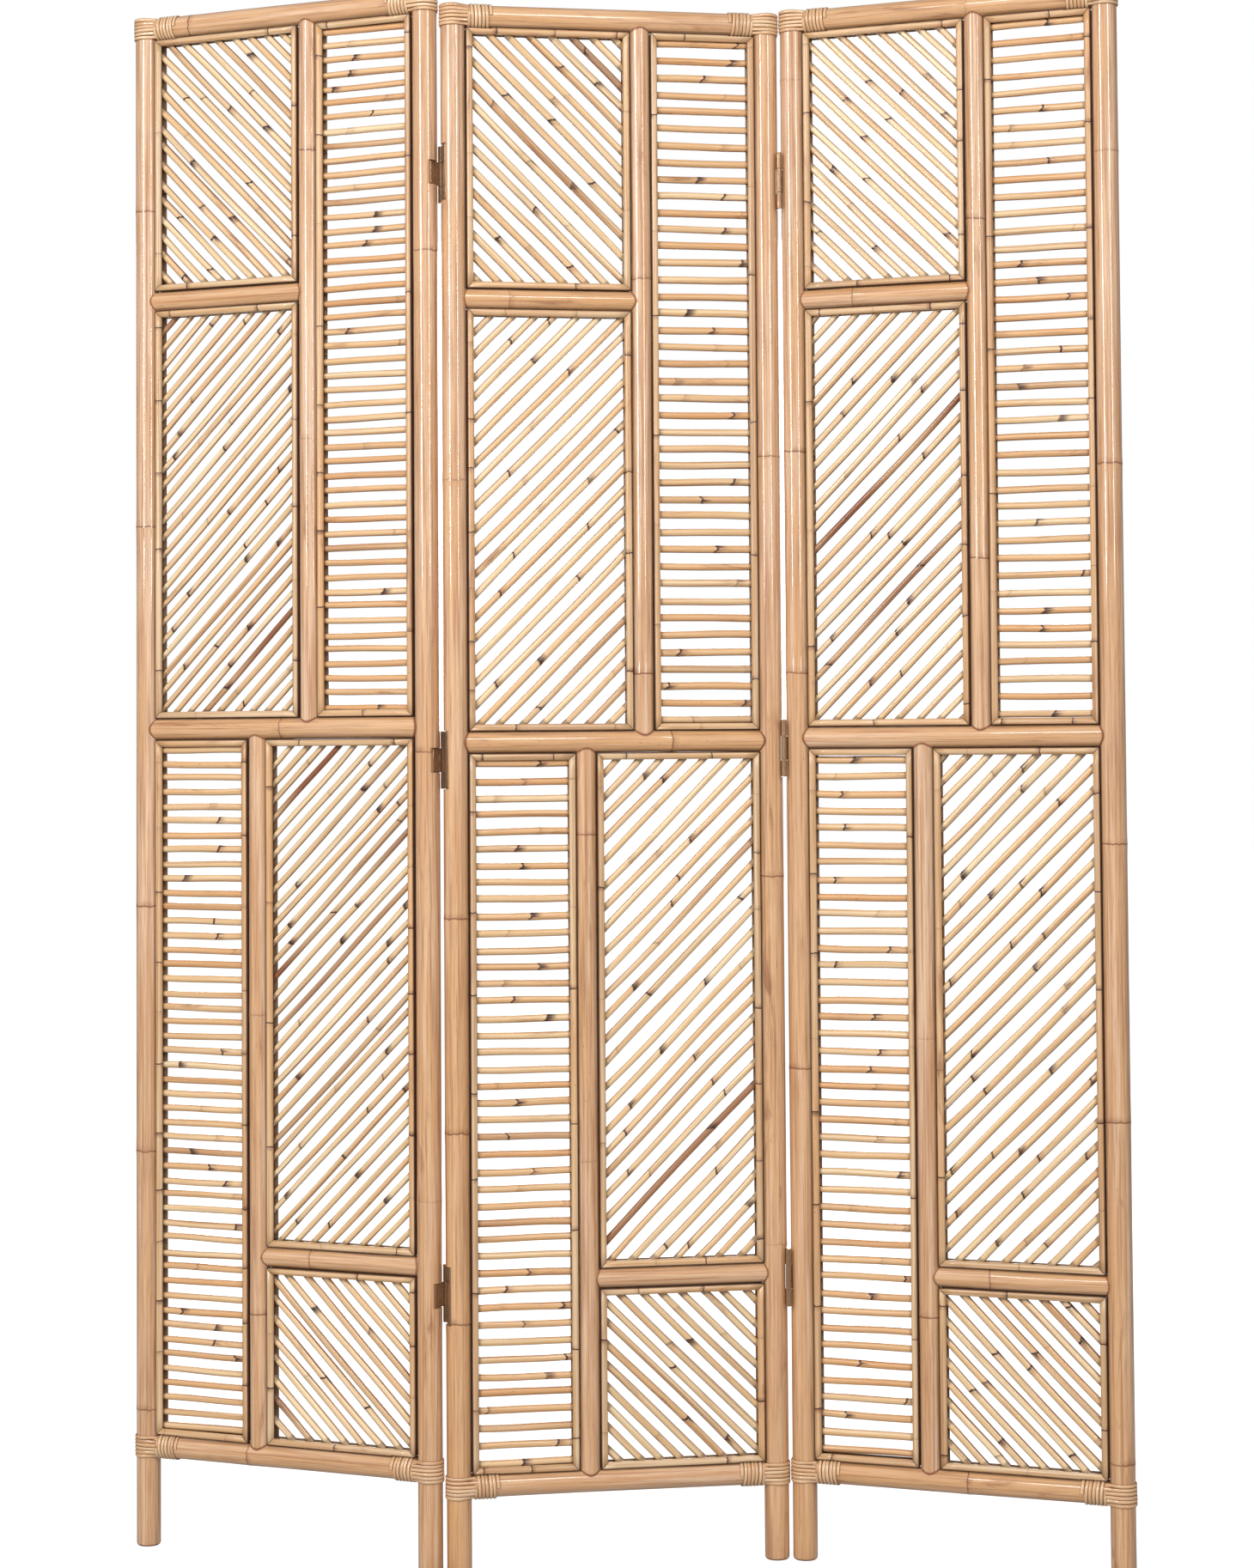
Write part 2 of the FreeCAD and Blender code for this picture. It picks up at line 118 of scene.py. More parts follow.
# Values of each point of a line of cane: their type, and the value where a line gives none
LINE_VALUES = {
    "radius": ("FLOAT", 1.0),
    "node": ("FLOAT", 1.0),
    "mate": ("FLOAT", 1.0),
    "warmth": ("FLOAT", 0.5),
    "tint": ("FLOAT", 0.3),
    "out": ("FLOAT_VECTOR", (0.0, 0.0, 0.0)),
    "push": ("FLOAT_VECTOR", (0.0, 0.0, 0.0)),
    "rod": ("INT", 0),
}

# Half the step at which the distance to a growth ring changes over to the next one
RING_SPLIT = 0.0001
# Half the length of the sections at a growth ring, and of its swelling, on each kind of cane
POLE_RING_REACH = 0.0022
POLE_SWELLING = 0.003
ROD_RING_REACH = 0.0016
BEAD_RING_REACH = 0.0012
THIN_SWELLING = 0.002
# Girth of a pole between its growth rings, as a share of the CAD pole's
POLE_GIRTH = 0.992
POLE_RING_SPACING = 0.36
POLE_SEED = 40
POLE_SIDES = 40
# How far a slanted rod's ends stay behind the CAD rod's corners, and the shortest rod made
ROD_TRIM = 0.0072
SHORTEST_ROD = 0.012
ROD_SIDES = 9
ROD_SEED = 7
# Share of the rods that are brown all over
BROWN_RODS = 0.015
# Height over the panel's middle at which the beading starts, and its gap to the poles
BEAD_BASE = 0.0038
BEAD_GAP = 0.0001
BEAD_SHOULDER = 0.42
BEAD_FOOT = 0.0003
DOME_STEPS = 6
# Room that the beading keeps for the peel on a rail, and how far along the rail
PEEL_ROOM = 0.0016
PEEL_REACH = 0.0312
# Half the length over which the beading steps back for the peel
WOUND_STEP = 0.0002
# Height of the peel's middle over the pole under it
PEEL_LIFT = 0.00015
# Width of the binding round a stile, and how far its strands run on over the rail
STRAP_WIDTH = 0.0256
STRAP_TAIL = 0.0168
# Where the turns round a rail start, from the stile's middle, and the length that they cover
TURNS_START = 0.01535
TURNS_LENGTH = 0.0300
STEPS_PER_TURN = 20
PEEL_SIDES = 12
PEEL_SEED = 60
# How flat the inner side of a strand of peel is, from 0 for round to 1 for half round
PEEL_FLAT = 0.92
KNUCKLE_RADIUS = 0.00325
KNUCKLE_BORE = 0.0018
KNUCKLE_EDGE = 0.0003
KNUCKLE_SIDES = 24
HOLE_SIDES = 20
# Room round a screw's head in its hole
HOLE_GAP = 0.0001
# Width of the outer leaf's spine beside the cut-out that takes the inner leaf
LEAF_SPINE = 0.0026
LEAF_GAP = 0.00025
# Length, width and depth of the slot in a screw's head, and the lift of its middle
SLOT = (0.0075, 0.0007, 0.001)
SLOT_LIFT = 0.0002
SCREW_SIDES = 16
PIN_SIDES = 20
# Gap left round a leaf and under it by the flat planed for it, and the slope of its wall
FLAT_GAP = 0.0004
FLAT_DEPTH_GAP = 0.0001
FLAT_WALL = 0.0001
FLAT_SMOOTH = math.radians(12)


def number_property(name, description, default, **kind):
    return bpy.props.FloatProperty(name=name, description=description, default=default, **kind)


def length_property(name, description, default):
    return number_property(name, description, default, unit="LENGTH")


def angle_property(name, description, default):
    return number_property(name, description, default, subtype="ANGLE")


def power_property(name, description, default):
    return number_property(name, description, default, unit="POWER")


def colour_property(name, description, default):
    return bpy.props.FloatVectorProperty(
        name=name, description=description, default=default, subtype="COLOR",
        size=3, min=0, max=1)


class ScreenSizes(bpy.types.PropertyGroup):
    """Sizes of the cane's natural shape and of the fine parts."""

    rod_bow: length_property("Rod bow", "Most that a thin rod bends at its middle", 0.0013)
    rod_stray: length_property("Rod stray", "Most that a thin rod sits off its place", 0.0012)
    rod_radius: length_property("Rod radius", "Radius of a thin rod", 0.0035)
    rod_step: length_property("Rod step", "Length of one section of a thin rod", 0.016)
    pole_bow: length_property("Pole bow", "Most that a pole bends at its middle", 0.0004)
    pole_step: length_property("Pole step", "Length of one section of a pole", 0.03)
    ring_swell: length_property(
        "Ring swell", "How far a growth ring stands out from a pole", 0.0004)
    end_round: length_property("End round", "Rounding of a stile's ends", 0.0035)
    cope_bite: length_property(
        "Cope bite", "How far a coped end beds into the pole that it meets", 0.0005)
    bead_width: length_property("Bead width", "Width of the beading", 0.0082)
    bead_thickness: length_property("Bead thickness", "Thickness of the beading", 0.006)
    bead_step: length_property("Bead step", "Length of one section of beading", 0.02)
    strand_count: bpy.props.IntProperty(
        name="Strands", description="Strands of peel side by side round a stile", default=6)
    turn_count: bpy.props.IntProperty(
        name="Turns", description="Turns of peel round a rail's end", default=6)
    peel_thickness: length_property(
        "Peel thickness", "Thickness of a strand of peel", 0.00145)
    leaf_tilt: angle_property(
        "Leaf tilt", "Tilt of a hinge leaf from the panel's side", math.radians(3))
    leaf_thickness: length_property("Leaf thickness", "Thickness of a hinge leaf", 0.0013)
    leaf_corner: length_property("Leaf corner", "Rounding of a hinge leaf's corners", 0.0022)
    leaf_edge: length_property("Leaf edge", "Rounding of a hinge leaf's edges", 0.0002)
    screw_radius: length_property("Screw radius", "Radius of a screw's head", 0.0026)


class ScreenColours(bpy.types.PropertyGroup):
    """Colours of the cane, the peel and the metal."""

    pole: colour_property("Pole", "Lacquered cane poles", (0.63, 0.345, 0.175))
    pole_pale: colour_property("Pale pole", "Paler streaks of the poles", (0.80, 0.555, 0.375))
    pole_warm: colour_property("Golden pole", "Golden lacquer of the poles", (0.71, 0.39, 0.17))
    rod: colour_property("Rod", "Thin cane rods", (0.79, 0.545, 0.285))
    rod_pale: colour_property("Pale rod", "Paler streaks of the rods", (0.90, 0.72, 0.46))
    rod_warm: colour_property("Golden rod", "Reddish gold of the rods", (0.70, 0.37, 0.155))
    bead: colour_property("Bead", "Cane beading", (0.62, 0.38, 0.185))
    bead_pale: colour_property("Pale bead", "Paler streaks of the beading", (0.78, 0.58, 0.37))
    peel: colour_property("Peel", "Rattan peel of the bindings", (0.72, 0.43, 0.22))
    peel_pale: colour_property("Pale peel", "Paler streaks of the peel", (0.86, 0.62, 0.39))
    # Stain also paints the shade along the canes' sides
    stain: colour_property("Stain", "Brown stains on the cane", (0.26, 0.085, 0.028))
    # Ring also paints the seam shade of the poles and the peel
    ring: colour_property("Ring", "Growth rings of the poles", (0.20, 0.06, 0.022))
    # Mark also paints the seam shade of the rods and the beading
    mark: colour_property("Mark", "Growth rings and dark seams", (0.045, 0.014, 0.009))
    bronze: colour_property("Bronze", "Hinge leaves and their screws", (0.47, 0.30, 0.175))
    tarnish: colour_property("Tarnish", "Dark tarnish of the hinges", (0.17, 0.09, 0.05))
    steel: colour_property("Steel", "Hinge pins and brads", (0.62, 0.61, 0.59))


class ScreenStudio(bpy.types.PropertyGroup):
    """Light, floor and camera of the studio."""

    world_strength: number_property(
        "Sky strength", "Strength of the even light from all round", 0.46)
    key_power: power_property("Key power", "Power of the tall lamp on the left", 40.0)
    fill_power: power_property("Fill power", "Power of the tall lamp on the right", 21.0)
    top_power: power_property("Top power", "Power of the wide lamp above the camera", 40.0)
    low_power: power_property("Low power", "Power of the wide lamp near the floor", 25.0)
    back_power: power_property("Back power", "Power of the wide lamp behind the screen", 60.0)
    floor_white: number_property(
        "Floor white", "Share of the floor's white that casts don't darken", 0.9,
        subtype="FACTOR", min=0, max=1)
    lens: number_property("Lens", "Focal length of the camera in millimetres", 69.25)
    camera_place: bpy.props.FloatVectorProperty(
        name="Camera place", description="Where the camera stands", size=3,
        default=(-0.5650, -3.4388, 0.9402), unit="LENGTH")
    camera_turn: angle_property(
        "Camera turn", "How far the camera looks to the right of straight back",
        math.radians(9.542))
    camera_pitch: angle_property("Camera pitch", "How far the camera looks up", 0.03779)
    camera_roll: angle_property("Camera roll", "Roll of the camera", -0.00687)
    camera_shift: number_property(
        "Camera shift", "Vertical shift of the lens, as a share of the long side", -0.1)


# Node trees


class Value:
    """A node's output. A sum written with it adds Math nodes to its tree."""

    def __init__(self, socket):
        self.socket = socket
        self.tree = socket.id_data

    def __add__(self, other):
        return calculate("ADD", self, other)

    def __sub__(self, other):
        return calculate("SUBTRACT", self, other)

    def __rsub__(self, other):
        return calculate("SUBTRACT", other, self)

    def __mul__(self, other):
        return calculate("MULTIPLY", self, other)

    def __truediv__(self, other):
        return calculate("DIVIDE", self, other)

    def __rtruediv__(self, other):
        return calculate("DIVIDE", other, self)


def connect(node, inputs):
    """Sets inputs of a node, by name or number, to plain values or to Values."""
    for key, value in inputs.items():
        if isinstance(value, Value):
            value.tree.links.new(value.socket, node.inputs[key])
        else:
            node.inputs[key].default_value = value


def add_node(tree, kind, inputs=None, output=0, **settings):
    """Adds a node with its settings and inputs, and gives one of its outputs."""
    node = tree.nodes.new(kind)
    for key, value in settings.items():
        setattr(node, key, value)
    connect(node, inputs or {})
    return Value(node.outputs[output])


def named_outputs(node):
    return {socket.name: Value(socket) for socket in node.outputs}


def tree_of(values):
    return next(value.tree for value in values if isinstance(value, Value))


def calculate(operation, *values, clamp=False):
    return add_node(tree_of(values), "ShaderNodeMath", dict(enumerate(values)),
                    operation=operation, use_clamp=clamp)


def vector_math(operation, *values, scale=None):
    inputs = dict(enumerate(values))
    if scale is not None:
        inputs[3] = scale
    return add_node(tree_of(values), "ShaderNodeVectorMath", inputs, operation=operation)


def split(vector):
    """The x, y and z of a vector."""
    parts = add_node(vector.tree, "ShaderNodeSeparateXYZ", {0: vector})
    return [Value(socket) for socket in parts.socket.node.outputs]


def combined(*values):
    return add_node(tree_of(values), "ShaderNodeCombineXYZ", dict(enumerate(values)))


def new_tree(name, kind, inputs, outputs):
    """A group and its inputs' Values. An input is given as its default or its type."""
    tree = bpy.data.node_groups.new(name, kind)
    for in_out, sockets in (("INPUT", inputs), ("OUTPUT", outputs)):
        for title, value in sockets.items():
            is_type = isinstance(value, str)
            socket_type = value if is_type else {int: "Int", float: "Float"}[type(value)]
            socket = tree.interface.new_socket(
                title, in_out=in_out, socket_type="NodeSocket" + socket_type)
            if not is_type:
                socket.default_value = value
    return tree, named_outputs(tree.nodes.new("NodeGroupInput"))


def shared_tree(name, make):
    return bpy.data.node_groups.get(name) or make()


def named(tree, name, data_type="FLOAT"):
    return add_node(tree, "GeometryNodeInputNamedAttribute", {"Name": name},
                    data_type=data_type)


def store(geometry, name, value, data_type="FLOAT"):
    return add_node(geometry.tree, "GeometryNodeStoreNamedAttribute",
                    {"Geometry": geometry, "Name": name, 3: value},
                    data_type=data_type, domain="POINT")


def random_value(low, high, identity, seed):
    return add_node(identity.tree, "FunctionNodeRandomValue",
                    {2: low, 3: high, 7: identity, 8: seed}, 1, data_type="FLOAT")


def finish_tree(mesh, material):
    """Ends a tree with plain geometry that has a material."""
    tree = mesh.tree
    mesh = add_node(tree, "GeometryNodeRealizeInstances", {"Geometry": mesh})
    mesh = add_node(tree, "GeometryNodeSetMaterial", {"Geometry": mesh, "Material": material})
    connect(tree.nodes.new("NodeGroupOutput"), {0: mesh})
    return tree


def cane_tree():
    """Sweeps a section of cane along each line of a mesh, and bends, shifts and copes it."""
    tree, given = new_tree(
        "Cane sweep", "GeometryNodeTree",
        {"Lines": "Geometry", "Sides": 12, "Height": 1.0, "Width": 1.0, "Flat": 0.0,
         "Bow": 0.0, "Stray": 0.0, "Unevenness": 0.03, "Seed": 1, "Material": "Material"},
        {"Cane": "Geometry"})
    seed = given["Seed"]
    wave_seed, stray_seed, start_seed, tilt_seed = (seed + step for step in (11, 23, 31, 47))
    full_bend_length = 0.2
    most_bend = 1.6
    outward_share = 0.3
    cope_share = 0.91

    rod = named(tree, "rod", "INT")
    out = named(tree, "out", "FLOAT_VECTOR")
    curve = add_node(tree, "GeometryNodeMeshToCurve", {"Mesh": given["Lines"]})
    curve = add_node(tree, "GeometryNodeSetCurveNormal", {"Curve": curve, "Normal": out},
                     mode="FREE")

    # Bend and shift, most at the middle of the line
    share = add_node(tree, "GeometryNodeSplineParameter")
    whole = add_node(tree, "GeometryNodeSplineLength")
    arch = calculate("SINE", share * math.pi)
    wave = calculate("SINE", share * (2 * math.pi))
    beside = vector_math("CROSS_PRODUCT", add_node(tree, "GeometryNodeInputTangent"), out)
    bend = arch * random_value(-1.0, 1.0, rod, seed)
    bend = bend + wave * random_value(-0.5, 0.5, rod, wave_seed)
    bend = bend * calculate("MINIMUM", whole / full_bend_length, most_bend) * given["Bow"]
    tilt = (share - 0.5) * random_value(-1.1, 1.1, rod, tilt_seed)
    shift = (tilt + random_value(-1.0, 1.0, rod, stray_seed)) * given["Stray"]
    sideways = vector_math("SCALE", beside, scale=bend + shift)
    outwards = vector_math("SCALE", out, scale=bend * outward_share)
    curve = add_node(tree, "GeometryNodeSetPosition",
                     {"Geometry": curve, "Offset": vector_math("ADD", sideways, outwards)})

    # Where each point lies on its line, for the finish
    reached = add_node(tree, "GeometryNodeSplineParameter", output=1)
    along = reached + random_value(0.0, 90.0, rod, start_seed)
    curve = store(curve, "ends", calculate("MINIMUM", reached, whole - reached))
    curve = store(curve, "along", along)

    # Section of the cane: a circle, or a strand with one flat side
    circle = add_node(tree, "GeometryNodeCurvePrimitiveCircle",
                      {"Resolution": given["Sides"], 4: 1.0}, mode="RADIUS")
    place = split(add_node(tree, "GeometryNodeInputPosition"))
    height = calculate("MAXIMUM", place[0], given["Flat"] - 1.0) * given["Height"]
    spot = combined(height, place[1] * given["Width"])
    circle = add_node(tree, "GeometryNodeSetPosition", {"Geometry": circle, "Position": spot})
    circle = store(circle, "cross", add_node(tree, "GeometryNodeInputPosition"),
                   "FLOAT_VECTOR")

    noise = add_node(tree, "ShaderNodeTexNoise", {"W": along, "Scale": 18.0, "Detail": 1.0},
                     noise_dimensions="1D")
    girth = named(tree, "radius") * ((noise - 0.5) * given["Unevenness"] + 1.0)
    curve = store(curve, "girth", girth)
    girth = named(tree, "girth")
    mesh = add_node(tree, "GeometryNodeCurveToMesh",
                    {"Curve": curve, "Profile Curve": circle, "Scale": girth,
                     "Fill Caps": True})

    # Coped ends follow the round of the pole that they meet
    cross = split(named(tree, "cross", "FLOAT_VECTOR"))
    depth = cross[0] * girth
    mate = named(tree, "mate")
    blunt = depth * cope_share
    left = mate * mate - blunt * blunt
    drop = mate - calculate("SQRT", calculate("MAXIMUM", left, 0.0))
    push = vector_math("SCALE", named(tree, "push", "FLOAT_VECTOR"), scale=drop)
    mesh = add_node(tree, "GeometryNodeSetPosition", {"Geometry": mesh, "Offset": push})
    cane = combined(depth, cross[1] * girth, named(tree, "along"))
    mesh = store(mesh, "cane", cane, "FLOAT_VECTOR")
    for name in ("cross", "girth", "along", "mate", "push", "out", "radius", "rod"):
        mesh = add_node(tree, "GeometryNodeRemoveAttribute", {"Geometry": mesh, "Name": name})
    mesh = add_node(tree, "GeometryNodeSetShadeSmooth",
                    {"Geometry": mesh, "Shade Smooth": True})
    return finish_tree(mesh, given["Material"])


# Meshes


def link(thing):
    bpy.context.scene.collection.objects.link(thing)
    return thing


def set_values(mesh, name, values, data_type="FLOAT"):
    """Stores a number or a vector for each point of a mesh."""
    stored = mesh.attributes.new(name, data_type, "POINT").data
    if data_type == "FLOAT_VECTOR":
        stored.foreach_set("vector", [number for vector in values for number in vector])
    else:
        stored.foreach_set("value", values)


def work_on(mesh):
    work = bmesh.new()
    work.from_mesh(mesh)
    return work


def mesh_from(work, name):
    mesh = bpy.data.meshes.new(name)
    work.to_mesh(mesh)
    work.free()
    return mesh


class Lines:
    """Lines for the cane tree, each with its own values."""

    def __init__(self):
        self.points = []
        self.edges = []
        self.values = {name: [] for name in LINE_VALUES}
        self.count = 0

    def add(self, points, **given):
        """Adds a line. Each value is a list with one for each point, or one for them all."""
        first = len(self.points)
        self.points.extend(points)
        self.edges.extend((first + index, first + index + 1)
                          for index in range(len(points) - 1))
        given["rod"] = self.count
        for name, described in LINE_VALUES.items():
            value = given.get(name, described[1])
            self.values[name].extend(value if isinstance(value, list) else
                                     [value] * len(points))
        self.count += 1

    def mesh(self):
        mesh = bpy.data.meshes.new("lines")
        mesh.from_pydata([tuple(point) for point in self.points], self.edges, [])
        for name, values in self.values.items():
            set_values(mesh, name, values, LINE_VALUES[name][0])
        return mesh


def evaluated_mesh(thing):
    graph = bpy.context.evaluated_depsgraph_get()
    return bpy.data.meshes.new_from_object(thing.evaluated_get(graph))


def run_tree(name, mesh, tree, inputs):
    """The plain mesh that a geometry node tree makes of a mesh."""
    holder = link(bpy.data.objects.new(name, mesh))
    modifier = holder.modifiers.new("Cane", "NODES")
    modifier.node_group = tree
    sockets = {item.name: item.identifier for item in tree.interface.items_tree
               if item.item_type == "SOCKET" and item.in_out == "INPUT"}
    for key, value in inputs.items():
        modifier[sockets[key]] = value
    made = evaluated_mesh(holder)
    holder.modifiers.clear()
    bpy.data.objects.remove(holder)
    bpy.data.meshes.remove(mesh)
    return made


def sweep(name, lines, material, **inputs):
    inputs["Material"] = material
    return run_tree(name, lines.mesh(), shared_tree("Cane sweep", cane_tree), inputs)


def place_piece(name, mesh, body, slot, *nodes):
    """Turns a finished mesh into a piece that rides on a body and stands for CAD nodes."""
    piece = link(bpy.data.objects.new(name, mesh))
    mesh.name = name
    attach(piece, body)
    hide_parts(*nodes)
    return piece


# Places read from the CAD nodes


def box_middle(node):
    low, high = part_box(node)
    return (low + high) / 2


def loose_parts(node):
    """The corners of each separate solid of a CAD node."""
    work = work_on(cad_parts[node].data)
    bmesh.ops.remove_doubles(work, verts=work.verts, dist=1e-6)
    seen = set()
    parts = []
    for vertex in work.verts:
        if vertex in seen:
            continue
        part = []
        waiting = [vertex]
        seen.add(vertex)
        while waiting:
            near = waiting.pop()
            part.append(near.co.copy())
            for edge in near.link_edges:
                other = edge.other_vert(near)
                if other not in seen:
                    seen.add(other)
                    waiting.append(other)
        parts.append(part)
    work.free()
    return parts


def span(part):
    """Lowest and highest height of a solid's corners."""
    heights = [corner.z for corner in part]
    return min(heights), max(heights)


def parts_upwards(node):
    return sorted(loose_parts(node), key=lambda part: span(part)[1])


class PanelPlace:
    """Where one panel stands, and its poles in the panel's own frame."""

    def __init__(self, panel):
        self.panel = panel
        self.body = BODIES[panel]
        self.middles = {}
        left, right = [box_middle(self.node(name)) for name in STILES]
        self.across = (right - left).normalized()
        self.across.z = 0
        self.back = UP.cross(self.across)
        self.origin = (left + right) / 2
        self.origin.z = 0
        self.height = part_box(self.node("left_stile"))[1].z
        self.radii = dict.fromkeys(STILES, self.depth_radius("left_stile"))
        for name in MATES:
            if name.endswith("mullion"):
                self.radii[name] = self.depth_radius(name)
            else:
                low, high = span(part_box(self.node(name)))
                self.radii[name] = (high - low) / 2

    def node(self, name):
        return self.panel + "_" + name

    def depth_radius(self, name):
        """Radius of an upright pole, from the depth of its node's corners."""
        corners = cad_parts[self.node(name)].data.vertices
        depths = [self.own(corner.co).y for corner in corners]
        return (max(depths) - min(depths)) / 2

    def own(self, point):
        """A point of the room in the panel's frame."""
        step = Vector(point) - self.origin
        return Vector((step.dot(self.across), step.dot(self.back), step.z))

    def room(self, x, y, z):
        """A point of the panel's frame in the room."""
        return self.origin + self.across * x + self.back * y + UP * z

    def turned(self, x, y, z):
        """A direction of the panel's frame in the room."""
        return self.across * x + self.back * y + UP * z

    def middle(self, name):
        if name not in self.middles:
            self.middles[name] = self.own(box_middle(self.node(name)))
        return self.middles[name]

    def grille(self, spot):
        """Name of the grille at a spot (x, z)."""
        for name in GRILLES:
            left, right, bottom, top = self.opening(name, lambda pole: 0.0)
            if left < spot[0] < right and bottom < spot[1] < top:
                return name
        raise ValueError("no grille at this spot")

    def opening(self, grille, seat):
        """Left, right, bottom and top of a grille, where seat(pole) is a pole's half width."""
        left, right, bottom, top = GRILLES[grille]
        return (self.middle(left).x + seat(left), self.middle(right).x - seat(right),
                self.middle(bottom).z + seat(bottom), self.middle(top).z - seat(top))


def growth_rings(length, spacing, chance):
    """Places of the growth rings along a cane, at uneven distances."""
    places = []
    reached = chance.uniform(0.1, 1.0) * spacing
    while reached < length - 0.01:
        places.append(reached)
        reached += spacing * chance.uniform(0.7, 1.3)
    return places


def sections(length, step, rings, reach):
    """Distances along a cane of its sections, with more of them at and between its rings."""
    count = max(2, round(length / step))
    inner = [length * index / count for index in range(1, count)]
    rings = [ring for ring in rings if reach * 2 < ring < length - reach * 2]
    for ring in rings:
        inner = [place for place in inner if abs(place - ring) > reach * 2]
        inner.extend((ring - reach, ring, ring + reach))
    for near, far in zip(rings, rings[1:]):
        inner.extend(((near + far) / 2 - RING_SPLIT, (near + far) / 2 + RING_SPLIT))
    return [0.0, *sorted(inner), length]


def ring_distance(place, rings):
    """Distance past the nearest growth ring, less than zero before it."""
    return min([place - ring for ring in rings] + [1.0], key=abs)


def swelling(away, width):
    """Share of a growth ring's swelling at a distance from it."""
    return math.exp(-((away / width) ** 2))


# Finishes


def mask(value, start, end):
    """Fades from 0 at start to 1 at end."""
    return add_node(value.tree, "ShaderNodeMapRange",
                    {0: value, 1: start, 2: end, 3: 0.0, 4: 1.0},
                    interpolation_type="SMOOTHSTEP")


def faded(value, start, end):
    """Fades from 1 at start to 0 at end."""
    return 1.0 - mask(value, start, end)


def mix_colour(share, first, second):
    return add_node(share.tree, "ShaderNodeMix", {0: share, 6: first, 7: second}, 2,
                    data_type="RGBA", blend_type="MIX")


def noise_of(vector, scale, detail=2.0, roughness=0.5, distortion=0.0):
    """Noise with a scale for each axis, in cycles a metre."""
    return add_node(vector.tree, "ShaderNodeTexNoise",
                    {"Vector": vector_math("MULTIPLY", vector, scale), "Scale": 1.0,
                     "Detail": detail, "Roughness": roughness, "Distortion": distortion},
                    noise_dimensions="3D")


def gloss_of(noise, least, most):
    """Roughness that follows a noise."""
    return add_node(noise.tree, "ShaderNodeMapRange",
                    {0: noise, 1: 0.3, 2: 0.7, 3: least, 4: most})


